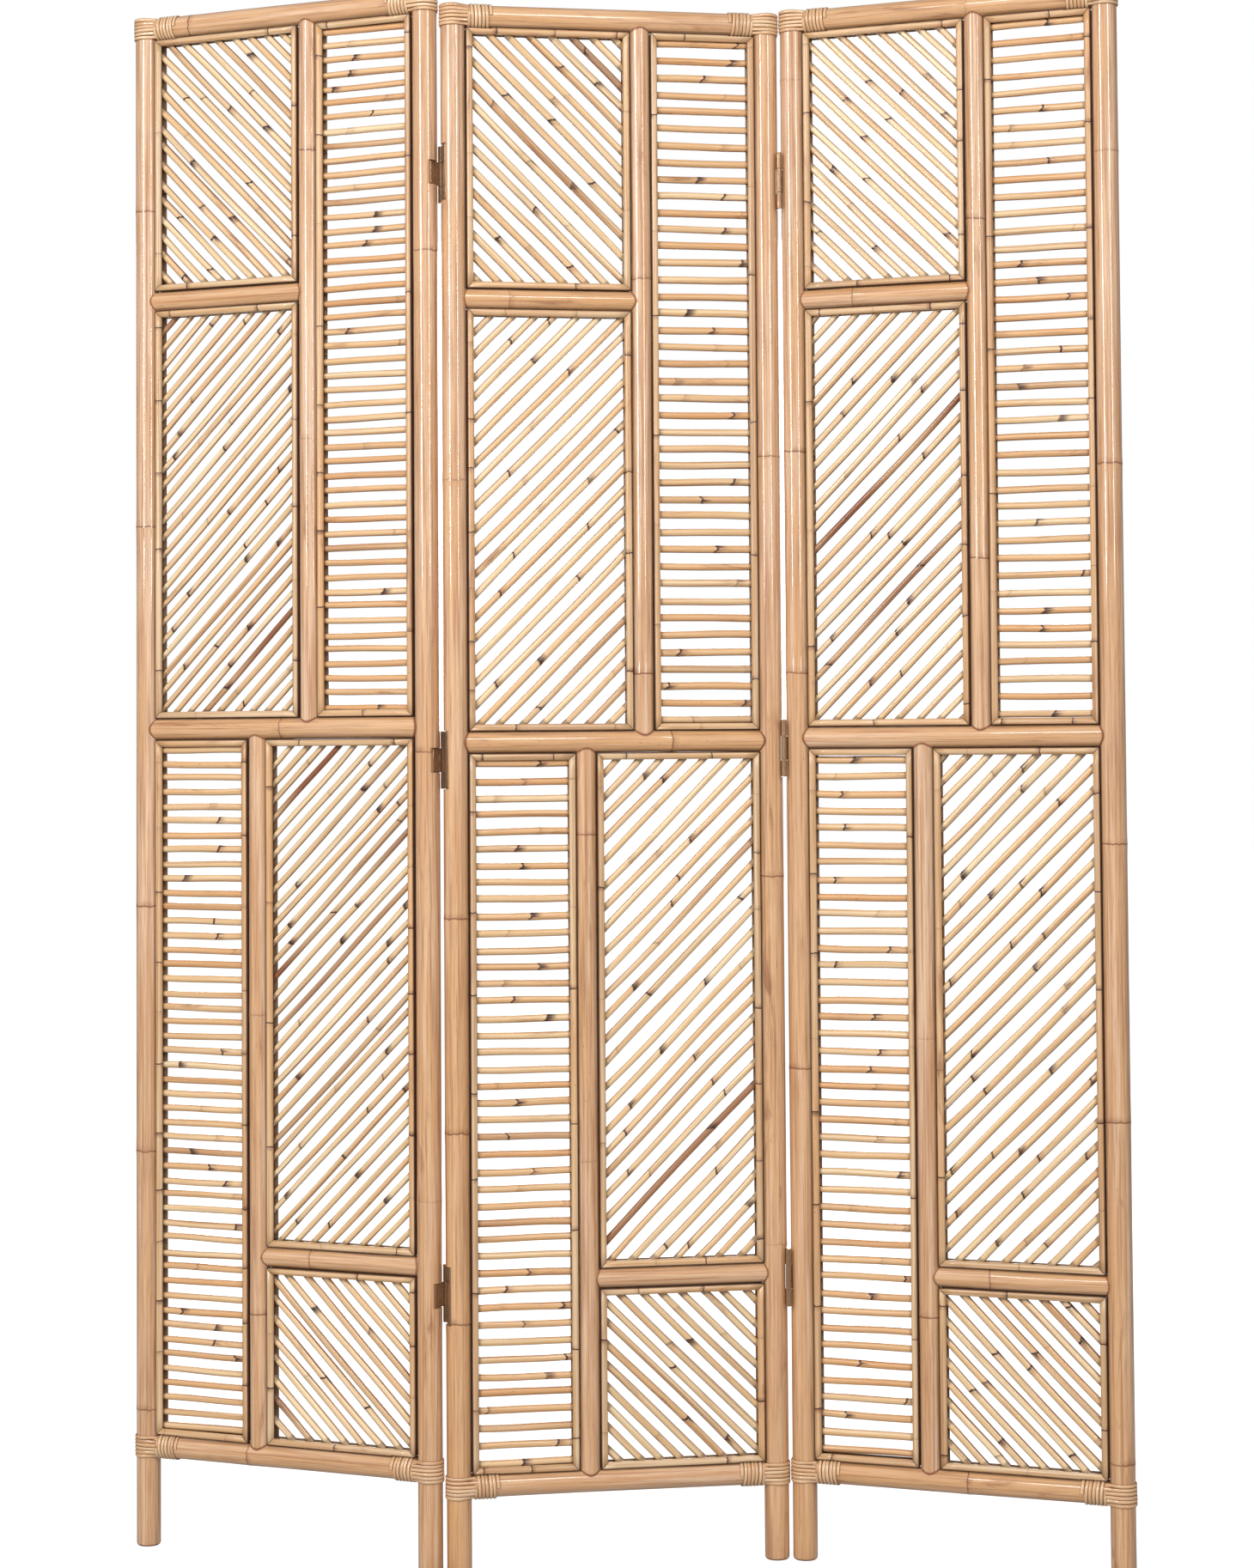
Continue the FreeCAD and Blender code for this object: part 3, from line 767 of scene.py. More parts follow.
def cane_skin():
    """Fibres, streaks, stains, specks and growth rings of a cane's skin, and its painted shade at
    seams and along its sides.
    """
    tree, given = new_tree(
        "Cane skin", "ShaderNodeTree",
        {"Cane": "Vector", "Tint": 0.5, "Ring Distance": 1.0, "Seam": 0.0, "Warmth": 0.5,
         "Base": "Color", "Pale": "Color", "Warm": "Color", "Stain": "Color",
         "Mark": "Color", "Streak Width": 0.006, "Grain": 0.2, "Stain Amount": 0.4,
         "Ring Width": 0.001, "Ring Strength": 1.0, "Ring Slant": 0.5, "Ring Blob": 0.0,
         "Tint Strength": 0.5, "Side Brown": 0.2},
        {"Color": "Color", "Roughness": "Float", "Height": "Float"})
    cane = given["Cane"]
    stain = given["Stain"]
    mark = given["Mark"]
    ring_width = given["Ring Width"]

    fibre = noise_of(cane, (1300.0, 1300.0, 26.0), 3.0, 0.6)
    fine = noise_of(cane, (420.0, 420.0, 9.0), 2.0)
    across = 1.0 / given["Streak Width"]
    streak = noise_of(cane, combined(across, across, 5.0), 2.0)
    blotch = noise_of(cane, (60.0, 60.0, 11.0), 4.0, 0.62, 0.6)
    patch = noise_of(cane, (45.0, 45.0, 3.1), 1.0)
    speck = noise_of(cane, (620.0, 620.0, 190.0), 1.0)
    long_streak = noise_of(cane, (230.0, 230.0, 2.2), 2.0, 0.6)

    colour = mix_colour(mask(streak, 0.36, 0.66), given["Base"], given["Pale"])
    warmth = calculate("ADD", given["Warmth"], (patch - 0.5) * 1.4, clamp=True)
    colour = mix_colour(warmth, colour, given["Warm"])
    blotches = mask(blotch, 0.56, 0.76) * given["Stain Amount"]
    specks = mask(speck, 0.735, 0.78) * 0.6
    for share, paint in (
            (mask(fine, 0.45, 0.75) * given["Grain"], stain),
            (mask(fibre, 0.50, 0.74) * given["Grain"], stain),
            (blotches * mask(patch, 0.42, 0.62), stain),
            (specks * mask(patch, 0.45, 0.7), mark),
            (mask(long_streak, 0.58, 0.7) * given["Stain Amount"] * 0.55, stain)):
        colour = mix_colour(share, colour, paint)

    # Each cane is a little darker or browner than the next, most of all over some of its length
    darker = mask(given["Tint"], 0.3, 1.0) * given["Tint Strength"]
    stretch = mask(noise_of(cane, (2.0, 2.0, 5.0), 0.0), 0.36, 0.6)
    darker = calculate("MULTIPLY", darker, stretch + 0.3, clamp=True)
    colour = mix_colour(darker, colour, stain)

    # Painted shade: darker along the sides of each cane, at its edges as seen from the front and
    # back
    round_place = split(vector_math("NORMALIZE",
                                    vector_math("MULTIPLY", cane, (1.0, 1.0, 0.0))))
    sides = mask(calculate("ABSOLUTE", round_place[1]), 0.72, 1.0)
    sides = sides * (mask(fine, 0.4, 0.6) + 0.55)
    sides = calculate("MULTIPLY", sides, given["Side Brown"], clamp=True)
    colour = mix_colour(sides, colour, stain)

    # A thin dark line at each growth ring, aslant and uneven, with a brown halo past it
    breadth = split(cane)[1]
    aslant = (given["Tint"] - 0.35) * breadth
    pointed = (given["Warmth"] - 0.2) * calculate("ABSOLUTE", breadth)
    curl = noise_of(cane, (170.0, 170.0, 9.0), 1.0)
    wander = (curl - 0.5) * 0.004
    distance = given["Ring Distance"] + ((aslant + pointed) * given["Ring Slant"] + wander)
    line = faded(calculate("ABSOLUTE", distance), ring_width * 0.35, ring_width)
    halo = faded(distance, 0.0, ring_width * 7.0) * mask(distance, ring_width * -1.5, 0.0)
    chosen = mask(noise_of(cane, (2.0, 2.0, 13.0), 0.0), 0.40, 0.52)
    strength = given["Ring Strength"] * (chosen * 0.8 + 0.2)
    blob = halo * mask(curl, 0.5, 0.6) * given["Ring Blob"]
    halo = halo * mask(blotch, 0.35, 0.65) * strength * 0.75
    ring = calculate("MULTIPLY", calculate("MAXIMUM", line, blob), strength, clamp=True)
    # The seam input paints shade in the Mark colour where parts meet
    for share, paint in ((halo, stain), (ring, mark), (given["Seam"], mark)):
        colour = mix_colour(share, colour, paint)

    rough = calculate("ADD", gloss_of(blotch, 0.34, 0.5), given["Seam"] * 0.6, clamp=True)
    relief = fibre * 0.5 + fine * 0.7 - line * 0.8
    connect(tree.nodes.new("NodeGroupOutput"),
            {"Color": colour, "Roughness": rough, "Height": relief})
    return tree


def worn_metal():
    """Tarnish, fine brushing and scuffs of small metal parts."""
    tree, given = new_tree(
        "Worn metal", "ShaderNodeTree",
        {"Vector": "Vector", "Base": "Color", "Tarnish": "Color", "Wear": 0.5},
        {"Color": "Color", "Roughness": "Float", "Height": "Float"})
    cloud = noise_of(given["Vector"], (260.0, 260.0, 260.0), 4.0, 0.6)
    brush = noise_of(given["Vector"], (2600.0, 2600.0, 120.0), 2.0)
    colour = given["Base"]
    for share in (mask(cloud, 0.75 - given["Wear"], 0.8), mask(brush, 0.45, 0.7) * 0.25):
        colour = mix_colour(share, colour, given["Tarnish"])
    connect(tree.nodes.new("NodeGroupOutput"),
            {"Color": colour, "Roughness": gloss_of(cloud, 0.26, 0.55), "Height": brush})
    return tree


def shaded_material(name, **looks):
    """A material, its tree and its shader, with values of the shader's own inputs."""
    material = bpy.data.materials.new(name)
    material.use_nodes = True
    tree = material.node_tree
    shader = next(item for item in tree.nodes if item.type == "BSDF_PRINCIPLED")
    connect(shader, {"Coat IOR": 1.65})
    connect(shader, {key.replace("_", " ").title(): value for key, value in looks.items()})
    return material, tree, shader


def add_skin(tree, shader, name, make, bump, inputs):
    """Feeds a shader from a skin's group, and gives the group's outputs."""
    group = tree.nodes.new("ShaderNodeGroup")
    group.node_tree = shared_tree(name, make)
    connect(group, inputs)
    skin = named_outputs(group)
    relief = add_node(tree, "ShaderNodeBump",
                      {"Strength": 0.5, "Distance": bump, "Height": skin["Height"]})
    connect(shader, {"Base Color": skin["Color"], "Roughness": skin["Roughness"],
                     "Normal": relief})
    return skin


def opaque(name):
    """One of the screen's colours, for a node."""
    return (*getattr(bpy.context.scene.screen_colours, name), 1.0)


def sawn_end(cane, ends, radius):
    """Where a pole is sawn across: at its very end, and nearer its middle than radius."""
    squares = [part * part for part in split(cane)[:2]]
    across = calculate("SQRT", squares[0] + squares[1])
    return faded(across, radius, radius + 0.0006) * faded(ends, 0.0002, 0.0006)


def cane_material(name, base, pale, warm, mark, seam_shade, coat, coat_roughness,
                  cut_radius=0.0, **looks):
    """Cane with its skin read from its own values, and a seam function of (cane, ends) that gives
    its painted seam shade, with some dark joint lines.
    """
    if name in bpy.data.materials:
        return bpy.data.materials[name]
    material, tree, shader = shaded_material(name, coat_roughness=coat_roughness)
    cane = add_node(tree, "ShaderNodeAttribute", output="Vector", attribute_name="cane")
    tint, node, ends, warmth = [
        add_node(tree, "ShaderNodeAttribute", output="Fac", attribute_name=key)
        for key in ("tint", "node", "ends", "warmth")]
    cut = sawn_end(cane, ends, cut_radius)
    # Painted shade at the seams where parts meet, kept off the sawn ends
    dark = seam_shade(cane, ends) * (1.0 - cut)
    inputs = {"Cane": cane, "Tint": tint, "Ring Distance": node, "Seam": dark,
              "Warmth": warmth, "Base": opaque(base), "Pale": opaque(pale),
              "Warm": opaque(warm), "Stain": opaque("stain"), "Mark": opaque(mark)}
    inputs.update({key.replace("_", " ").title(): value for key, value in looks.items()})
    skin = add_skin(tree, shader, "Cane skin", cane_skin, 0.0004, inputs)
    # Painted seam shade and cut ends carry no lacquer
    connect(shader, {"Coat Weight": (1.0 - calculate("MAXIMUM", dark, cut)) * coat,
                     "Roughness": calculate("MAXIMUM", skin["Roughness"], cut * 0.9)})
    return material


# Painted shade and a dark glue line within 3.2 mm of a pole's ends, where a coped end meets its
# pole; the stiles' ends get it too
def pole_seam_and_shade(cane, ends):
    return faded(ends, 0.001, 0.0032) * 0.9


# Painted shade on each rod near its ends, where it runs in under the beading
def rod_end_shade(cane, ends):
    return faded(ends, 0.0055, 0.0095) * 0.55


# Dark mitre joints of the beading, with painted shade along its edge against the pole and near
# its foot by the rods
def bead_seams_and_shade(cane, ends):
    place = split(cane)
    # Painted contact shade and a dark glue line along the edge against the pole
    pole_side = faded(place[0], 0.0005, 0.0020)
    mitre = faded(ends, 0.0001, 0.0008)
    # Painted shade near the foot of the beading, beside the rods
    base = faded(place[1], 0.0009, 0.0027) * 0.74
    return calculate("MAXIMUM", calculate("MAXIMUM", pole_side, mitre), base) * 0.95


# Painted shade along both edges of each strand of peel, where it meets the next strand
def peel_edge_shade(cane, ends):
    return mask(calculate("ABSOLUTE", split(cane)[1]), 0.0014, 0.0021) * 0.9


# The seam function and side value given to each cane below set its painted shade
def pole_material():
    return cane_material(
        "Lacquered pole", "pole", "pole_pale", "pole_warm", "ring", pole_seam_and_shade, 1.0, 0.07,
        cut_radius=0.0118, streak_width=0.0045, stain_amount=0.75, ring_width=0.0013,
        ring_strength=0.75, ring_slant=0.12, ring_blob=0.1, grain=0.46, tint_strength=0.12,
        side_brown=0.22)


def rod_material():
    return cane_material(
        "Thin rod", "rod", "rod_pale", "rod_warm", "mark", rod_end_shade, 0.6, 0.18,
        streak_width=0.003, stain_amount=0.8, ring_width=0.0019, ring_strength=1.0,
        ring_slant=1.7, ring_blob=1.0, grain=0.2, tint_strength=0.85, side_brown=0.75)


def bead_material():
    return cane_material(
        "Cane beading", "bead", "bead_pale", "rod_warm", "mark", bead_seams_and_shade, 0.45, 0.2,
        streak_width=0.003, stain_amount=0.7, ring_width=0.0010, ring_strength=1.0,
        ring_slant=0.0, ring_blob=0.5, grain=0.22, tint_strength=0.22, side_brown=0.0)


def peel_material():
    return cane_material(
        "Rattan peel", "peel", "peel_pale", "rod_warm", "ring", peel_edge_shade, 0.9, 0.14,
        streak_width=0.002, stain_amount=0.6, ring_width=0.001, ring_strength=0.7,
        ring_slant=0.2, ring_blob=0.3, grain=0.2, tint_strength=0.2, side_brown=0.0)


def metal_material(name, base, wear, metallic):
    if name in bpy.data.materials:
        return bpy.data.materials[name]
    material, tree, shader = shaded_material(name, coat_roughness=0.1, metallic=metallic)
    spot = add_node(tree, "ShaderNodeTexCoord", output="Object")
    add_skin(tree, shader, "Worn metal", worn_metal, 0.00005,
             {"Vector": spot, "Base": opaque(base), "Tarnish": opaque("tarnish"),
              "Wear": wear})
    return material


def bronze_material():
    return metal_material("Hinge bronze", "bronze", 0.2, 0.85)


def steel_material():
    return metal_material("Bright steel", "steel", 0.15, 1.0)


# Pieces


def pole_line(place, name):
    """Start and end of a pole's middle line, in its panel's frame."""
    middle = place.middle(name)
    if name in STILES:
        return Vector((middle.x, 0, 0)), Vector((middle.x, 0, place.height))
    first, last = MATES[name]
    bite = bpy.context.scene.screen_sizes.cope_bite
    start = place.middle(first)
    end = place.middle(last)
    if name.endswith("mullion"):
        return (Vector((middle.x, 0, start.z + place.radii[first] - bite)),
                Vector((middle.x, 0, end.z - place.radii[last] + bite)))
    return (Vector((start.x + place.radii[first] - bite, 0, middle.z)),
            Vector((end.x - place.radii[last] + bite, 0, middle.z)))


def pole_mesh(place, name, number):
    """One pole, with its growth rings and with rounded or coped ends."""
    sizes = bpy.context.scene.screen_sizes
    chance = random.Random(POLE_SEED + number)
    start, end = pole_line(place, name)
    length = (end - start).length
    direction = (end - start).normalized()
    node = place.node(name)
    rings = STILE_RINGS.get(node, growth_rings(length, POLE_RING_SPACING, chance))
    steps = sections(length, sizes.pole_step, rings, POLE_RING_REACH)
    is_stile = name in STILES
    rounding = sizes.end_round
    if is_stile:
        tips = [rounding * (1 - math.cos(math.radians(angle))) for angle in (30, 60, 90)]
        clear = rounding * 1.5
        steps = [0.0, *tips, *(step for step in steps if clear < step < length - clear),
                 *(length - tip for tip in reversed(tips)), length]
    radii = []
    nodes = []
    for step in steps:
        away = ring_distance(step, rings)
        swell = sizes.ring_swell * swelling(away, POLE_SWELLING)
        radius = place.radii[name] * POLE_GIRTH - sizes.ring_swell * 0.5 + swell
        left = min(step, length - step)
        if is_stile and left < rounding:
            radius -= rounding * (1 - math.sqrt(1 - (1 - left / rounding) ** 2))
        radii.append(radius)
        nodes.append(away)
    points = [place.room(*(start + direction * step)) for step in steps]
    pushes = [Vector()] * len(points)
    mates = [1.0] * len(points)
    if not is_stile:
        turned = place.turned(*direction)
        pushes[0] = -turned
        pushes[-1] = turned
        mates[0], mates[-1] = [place.radii[mate] for mate in MATES[name]]
    first, last = POLE_WARMTH.get(node, POLE_WARMTH[name])
    shift = chance.uniform(-0.1, 0.1)
    warmth = [first + (last - first) * step / length + shift for step in steps]
    lines = Lines()
    lines.add(points, radius=radii, out=place.back, node=nodes, push=pushes, mate=mates,
              warmth=warmth, tint=chance.random() * 0.6)
    return sweep(node + "_pole", lines, pole_material(), Sides=POLE_SIDES,
                 Bow=sizes.pole_bow, Unevenness=0.012, Seed=number)


def plane_flats(mesh, line, parts):
    """Planes a flat under each hinge leaf: parts are the leaves' corners in the room."""
    work = work_on(mesh)
    depth = line.thickness + FLAT_DEPTH_GAP
    for part in parts:
        low, high = span(part)
        low -= FLAT_GAP
        high += FLAT_GAP
        for height in (low, low + FLAT_WALL, high - FLAT_WALL, high):
            geometry = work.verts[:] + work.edges[:] + work.faces[:]
            bmesh.ops.bisect_plane(work, geom=geometry, plane_co=(0, 0, height), plane_no=UP)
        for vertex in work.verts:
            if low + FLAT_WALL / 2 < vertex.co.z < high - FLAT_WALL / 2:
                over = (vertex.co - line.axis).dot(line.outward) + depth
                if over > 0:
                    vertex.co -= line.outward * over
        work.normal_update()
        for edge in work.edges:
            bottom, top = sorted(vertex.co.z for vertex in edge.verts)
            if low - FLAT_GAP < bottom and top < high + FLAT_GAP:
                edge.smooth = edge.calc_face_angle(0) < FLAT_SMOOTH
    work.to_mesh(mesh)
    work.free()


class HingeLine:
    """One side of a hinge line: its axis, and which way its leaves lie."""

    def __init__(self, place, side, face, joint):
        sizes = bpy.context.scene.screen_sizes
        across = math.cos(sizes.leaf_tilt)
        aside = math.sin(sizes.leaf_tilt)
        self.thickness = sizes.leaf_thickness
        self.axis = box_middle(joint + "_hinge_pins")
        self.axis.z = 0
        self.outward = place.turned(side * across, -face * aside, 0)
        self.along = place.turned(-side * aside, -face * across, 0)


def hinge_lines(places):
    """For each joint: the outer side and the inner side of its hinges."""
    return {joint: [HingeLine(places[panel], side, face, joint) for panel, side in sides]
            for joint, (face, *sides) in HINGES.items()}


class PARTITION_OT_poles(bpy.types.Operator):
    """Makes the stiles, rails, mullions and crossbars of the three panels"""

    bl_idname = "partition.poles"
    bl_label = "Poles"

    def execute(self, context):
        places = {panel: PanelPlace(panel) for panel in BODIES}
        lines = hinge_lines(places)
        flats = {
            "left_right_stile": (lines["left"][1], "left_hinge_inner_leaves"),
            "middle_left_stile": (lines["left"][0], "left_hinge_outer_leaves"),
            "middle_right_stile": (lines["right"][0], "right_hinge_outer_leaves"),
            "right_left_stile": (lines["right"][1], "right_hinge_inner_leaves"),
        }
        number = 0
        for place in places.values():
            for name in POLE_NAMES:
                number += 1
                node = place.node(name)
                mesh = pole_mesh(place, name, number)
                if node in flats:
                    line, leaves = flats[node]
                    plane_flats(mesh, line, loose_parts(leaves))
                place_piece(node + "_pole", mesh, place.body, "pole_rattan", node)
        return {"FINISHED"}


def rod_run(corners, is_level):
    """Direction of a rod in its panel's face, from its corners as (x, z)."""
    if is_level:
        return Vector((1, 0))
    near, far = max(((near, far) for near in corners for far in corners),
                    key=lambda pair: math.dist(*pair))
    rise = (far[0] - near[0]) * (far[1] - near[1])
    return Vector((1, 1 if rise > 0 else -1)).normalized()


def rod_lines(place, node, chance):
    """A line for each rod of a CAD node, from its own corners."""
    sizes = bpy.context.scene.screen_sizes
    lines = Lines()
    is_level = "level" in node
    trim = 0.0 if is_level else ROD_TRIM
    for part in loose_parts(node):
        corners = [(corner.x, corner.z) for corner in map(place.own, part)]
        run = rod_run(corners, is_level)
        side = Vector((-run.y, run.x))
        reach = [Vector(corner).dot(run) for corner in corners]
        cross = [Vector(corner).dot(side) for corner in corners]
        middle = side * (min(cross) + max(cross)) / 2
        start = middle + run * (min(reach) + trim)
        length = (middle + run * (max(reach) - trim) - start).length
        if length < SHORTEST_ROD:
            continue
        rings = growth_rings(length, chance.uniform(0.12, 0.3), chance)
        steps = sections(length, sizes.rod_step, rings, ROD_RING_REACH)
        grille = place.grille(middle + run * (min(reach) + max(reach)) / 2)
        thick = (sizes.rod_radius * ROD_SHARES[place.panel][grille]
                 * chance.uniform(0.94, 1.05))
        taper = chance.uniform(-0.05, 0.05)
        spots = [start + run * step for step in steps]
        nodes = [ring_distance(step, rings) for step in steps]
        radii = [thick * (1 + taper * (step / length - 0.5)
                          + 0.055 * swelling(away, THIN_SWELLING))
                 for step, away in zip(steps, nodes)]
        warmth = chance.uniform(0.3, 0.9) if is_level else chance.uniform(0.0, 0.45)
        tint = chance.random() ** 4 * 0.65
        if chance.random() < BROWN_RODS:
            tint = chance.uniform(0.85, 1.0)
        lines.add([place.room(spot.x, 0, spot.y) for spot in spots], radius=radii,
                  out=place.back, node=nodes, warmth=warmth, tint=tint)
    return lines


class PARTITION_OT_rods(bpy.types.Operator):
    """Makes the thin cane rods that fill the grilles"""

    bl_idname = "partition.rods"
    bl_label = "Rods"

    def execute(self, context):
        sizes = context.scene.screen_sizes
        for number, panel in enumerate(BODIES):
            place = PanelPlace(panel)
            for kind in ("level_slats", "slanted_slats"):
                node = place.node(kind)
                lines = rod_lines(place, node, random.Random(node))
                mesh = sweep(node + "_rods", lines, rod_material(), Sides=ROD_SIDES,
                             Bow=sizes.rod_bow, Stray=sizes.rod_stray, Unevenness=0.08,
                             Seed=ROD_SEED + number)
                place_piece(node + "_rods", mesh, place.body, "slat_rattan", node)
        return {"FINISHED"}


def bead_profile():
    """Section of the beading: distance from the pole and height over the rods, as a dome."""
    sizes = bpy.context.scene.screen_sizes
    width = sizes.bead_width
    tall = sizes.bead_thickness
    shoulder = tall * BEAD_SHOULDER
    points = [(BEAD_FOOT, 0.0), (0.0, shoulder * 0.5)]
    for index in range(DOME_STEPS + 1):
        angle = math.pi * index / DOME_STEPS
        points.append((width / 2 * (1 - math.cos(angle)),
                       shoulder + tall * (1 - BEAD_SHOULDER) * math.sin(angle)))
    points.extend([(width, shoulder * 0.5), (width - BEAD_FOOT, 0.0)])
    return points


class BeadMesh:
    """Collects the mitred strips of one panel's front or back beading."""

    def __init__(self, place, face, chance):
        self.place = place
        self.face = face
        self.chance = chance
        self.points = []
        self.faces = []
        self.values = {"cane": [], "tint": [], "node": [], "ends": [], "warmth": []}

    def strip(self, start, end, inward, by_rail, bound):
        """Adds a strip between two outer corners, clear of the peel at the bound ones."""
        sizes = bpy.context.scene.screen_sizes
        chance = self.chance
        length = (end - start).length
        run = (end - start).normalized()
        rings = growth_rings(length, chance.uniform(0.07, 0.15), chance)
        steps = sections(length, sizes.bead_step, rings, BEAD_RING_REACH)
        # Beside a rail the strip steps back where the rail is wound, beside a stile only its ends
        wound = [PEEL_REACH if by_rail and bound[0] else 0.0,
                 length - PEEL_REACH if by_rail and bound[1] else length]
        end_room = [PEEL_ROOM if flag and not by_rail else 0.0 for flag in bound]
        for place in wound:
            if 0 < place < length:
                steps.extend((place - WOUND_STEP, place + WOUND_STEP))
        mitre = sizes.bead_width * 1.25
        steps = [step for step in sorted(steps)
                 if step in (0.0, length) or mitre < step < length - mitre]
        profile = bead_profile()
        first = len(self.points)
        tint = chance.random() * 0.8
        warmth = chance.uniform(0.0, 0.5)
        offset = chance.uniform(0, 60)
        wave = chance.uniform(0, 6)
        for step in steps:
            away = ring_distance(step, rings)
            thick = (1 + 0.05 * swelling(away, THIN_SWELLING)
                     + 0.02 * math.sin(step * 37 + wave))
            at_end = step in (0.0, length)
            is_wound = step < wound[0] or step > wound[1]
            for across, tall in profile:
                reach = max(across, PEEL_ROOM) if is_wound else across
                distance = step
                if at_end:
                    slant = max(across + 0.00005, end_room[0 if step == 0.0 else 1])
                    distance = slant if step == 0.0 else length - slant
                spot = start + run * distance + inward * reach
                depth = BEAD_BASE + tall * thick
                self.points.append(self.place.room(spot.x, self.face * depth, spot.z))
                for key, value in (("cane", (across, tall, distance + offset)),
                                   ("tint", tint), ("warmth", warmth), ("node", away),
                                   ("ends", 0.0 if at_end else min(step, length - step))):
                    self.values[key].append(value)
        count = len(profile)
        last = first + (len(steps) - 1) * count
        for near in range(first, last, count):
            for index in range(count):
                following = (index + 1) % count
                self.faces.append((near + index, near + following,
                                   near + count + following, near + count + index))
        self.faces.append(tuple(first + index for index in reversed(range(count))))
        self.faces.append(tuple(last + index for index in range(count)))

    def mesh(self, name, material):
        mesh = bpy.data.meshes.new(name)
        mesh.from_pydata([tuple(point) for point in self.points], [], self.faces)
        work = work_on(mesh)
        bmesh.ops.recalc_face_normals(work, faces=work.faces)
        work.to_mesh(mesh)
        work.free()
        for key, values in self.values.items():
            set_values(mesh, key, values, "FLOAT_VECTOR" if key == "cane" else "FLOAT")
        mesh.polygons.foreach_set("use_smooth", [True] * len(mesh.polygons))
        mesh.materials.append(material)
        return mesh


def bead_strips(work, place, grille):
    """The four strips of one frame of beading, from its lower left corner round."""
    left, right, bottom, top = place.opening(
        grille, lambda pole: math.sqrt(place.radii[pole] ** 2 - BEAD_BASE ** 2) + BEAD_GAP)
    first, second, lower, upper = GRILLES[grille]
    corners = [(Vector((left, 0, bottom)), (first, lower)),
               (Vector((right, 0, bottom)), (second, lower)),
               (Vector((right, 0, top)), (second, upper)),
               (Vector((left, 0, top)), (first, upper))]
    inwards = [UP, Vector((-1, 0, 0)), -UP, Vector((1, 0, 0))]
    bound = [(stile, rail) for stile, rail, side in BOUND_CORNERS]
    for index, inward in enumerate(inwards):
        start, start_poles = corners[index]
        end, end_poles = corners[(index + 1) % 4]
        work.strip(start, end, inward, index % 2 == 0,
                   [start_poles in bound, end_poles in bound])


class PARTITION_OT_beading(bpy.types.Operator):
    """Makes the mitred cane beading in front of and behind the rods' ends"""

    bl_idname = "partition.beading"
    bl_label = "Beading"

    def execute(self, context):
        for panel in BODIES:
            place = PanelPlace(panel)
            for kind, face in (("front_beading", -1), ("back_beading", 1)):
                node = place.node(kind)
                work = BeadMesh(place, face, random.Random(node))
                for grille in GRILLES:
                    bead_strips(work, place, grille)
                mesh = work.mesh(node + "_strips", bead_material())
                place_piece(node + "_strips", mesh, place.body, "beading_rattan", node)
        return {"FINISHED"}


def strap_lines(place, stile, rail, side, lines, chance):
    """The strands of peel that pass round a stile, from the rail's front to its back."""
    count = bpy.context.scene.screen_sizes.strand_count
    middle = place.middle(rail).z
    axis_x = place.middle(stile).x
    reach = place.radii[stile] + PEEL_LIFT
    for index in range(count):
        lift = STRAP_WIDTH * ((index + 0.5) / count - 0.5)
        left = (place.radii[rail] + 0.0002) ** 2 - lift ** 2
        rail_depth = math.sqrt(max(left, 0.0)) * 0.97
        tail = []
        for share in (1.0, 0.75, 0.5, 0.25):
            ease = share * share * (3 - 2 * share)
            tail.append((axis_x - side * (share * STRAP_TAIL),
                         reach + (rail_depth - reach) * ease,
                         middle + lift * (1 - 0.06 * ease)))
        path = [((x, -depth, z), (0, -1, 0)) for x, depth, z in tail]
        for degrees in range(-90, 91, 12):
            angle = math.radians(degrees)
            x = math.cos(angle)
            y = math.sin(angle)
            radius = reach + 0.00012 * math.sin(angle * 3 + index)
            path.append(((axis_x + side * radius * x, radius * y, middle + lift),
                         (side * x, y, 0)))
        path.extend(((x, depth, z), (0, 1, 0)) for x, depth, z in reversed(tail))
        slack = chance.uniform(-0.0002, 0.0002)
        lines.add([place.room(x, y, z + slack) for (x, y, z), out in path],
                  out=[place.turned(*out) for spot, out in path],
                  radius=chance.uniform(0.96, 1.0), warmth=chance.uniform(0.0, 0.5),
                  tint=chance.random() * 0.7)


def turn_lines(place, stile, rail, side, lines, chance):
    """The strand of peel wound round a rail's end."""
    count = bpy.context.scene.screen_sizes.turn_count
    pitch = TURNS_LENGTH / (count + 1)
    radius = place.radii[rail] + PEEL_LIFT
    middle = place.middle(rail).z
    axis_x = place.middle(stile).x
    points = []
    outs = []
    for step in range(STEPS_PER_TURN * count + 1):
        turn = step / STEPS_PER_TURN
        angle = 2 * math.pi * turn + math.pi
        run = TURNS_START + pitch * 0.5 + pitch * turn
        run += 0.0003 * math.sin(angle * 0.5 + 1.3) * min(turn, 1)
        y = math.cos(angle)
        z = math.sin(angle)
        points.append(place.room(axis_x - side * run, radius * y, middle + radius * z))
        outs.append(place.turned(0, y, z))
    lines.add(points, out=outs, warmth=0.2, tint=chance.random() * 0.5)


class PARTITION_OT_bindings(bpy.types.Operator):
    """Makes the bindings of rattan peel at the panels' corners"""

    bl_idname = "partition.bindings"
    bl_label = "Bindings"

    def execute(self, context):
        sizes = context.scene.screen_sizes
        for number, panel in enumerate(BODIES):
            place = PanelPlace(panel)
            for kind, make, half_width in (("binding_straps", strap_lines, 0.00223),
                                           ("binding_turns", turn_lines, 0.00213)):
                node = place.node(kind)
                chance = random.Random(node)
                lines = Lines()
                for corner in BOUND_CORNERS:
                    make(place, *corner, lines, chance)
                mesh = sweep(node + "_peel", lines, peel_material(), Sides=PEEL_SIDES,
                             Flat=PEEL_FLAT, Height=sizes.peel_thickness,
                             Width=half_width, Unevenness=0.05, Seed=PEEL_SEED + number)
                place_piece(node + "_peel", mesh, place.body, "peel_rattan", node)
        return {"FINISHED"}


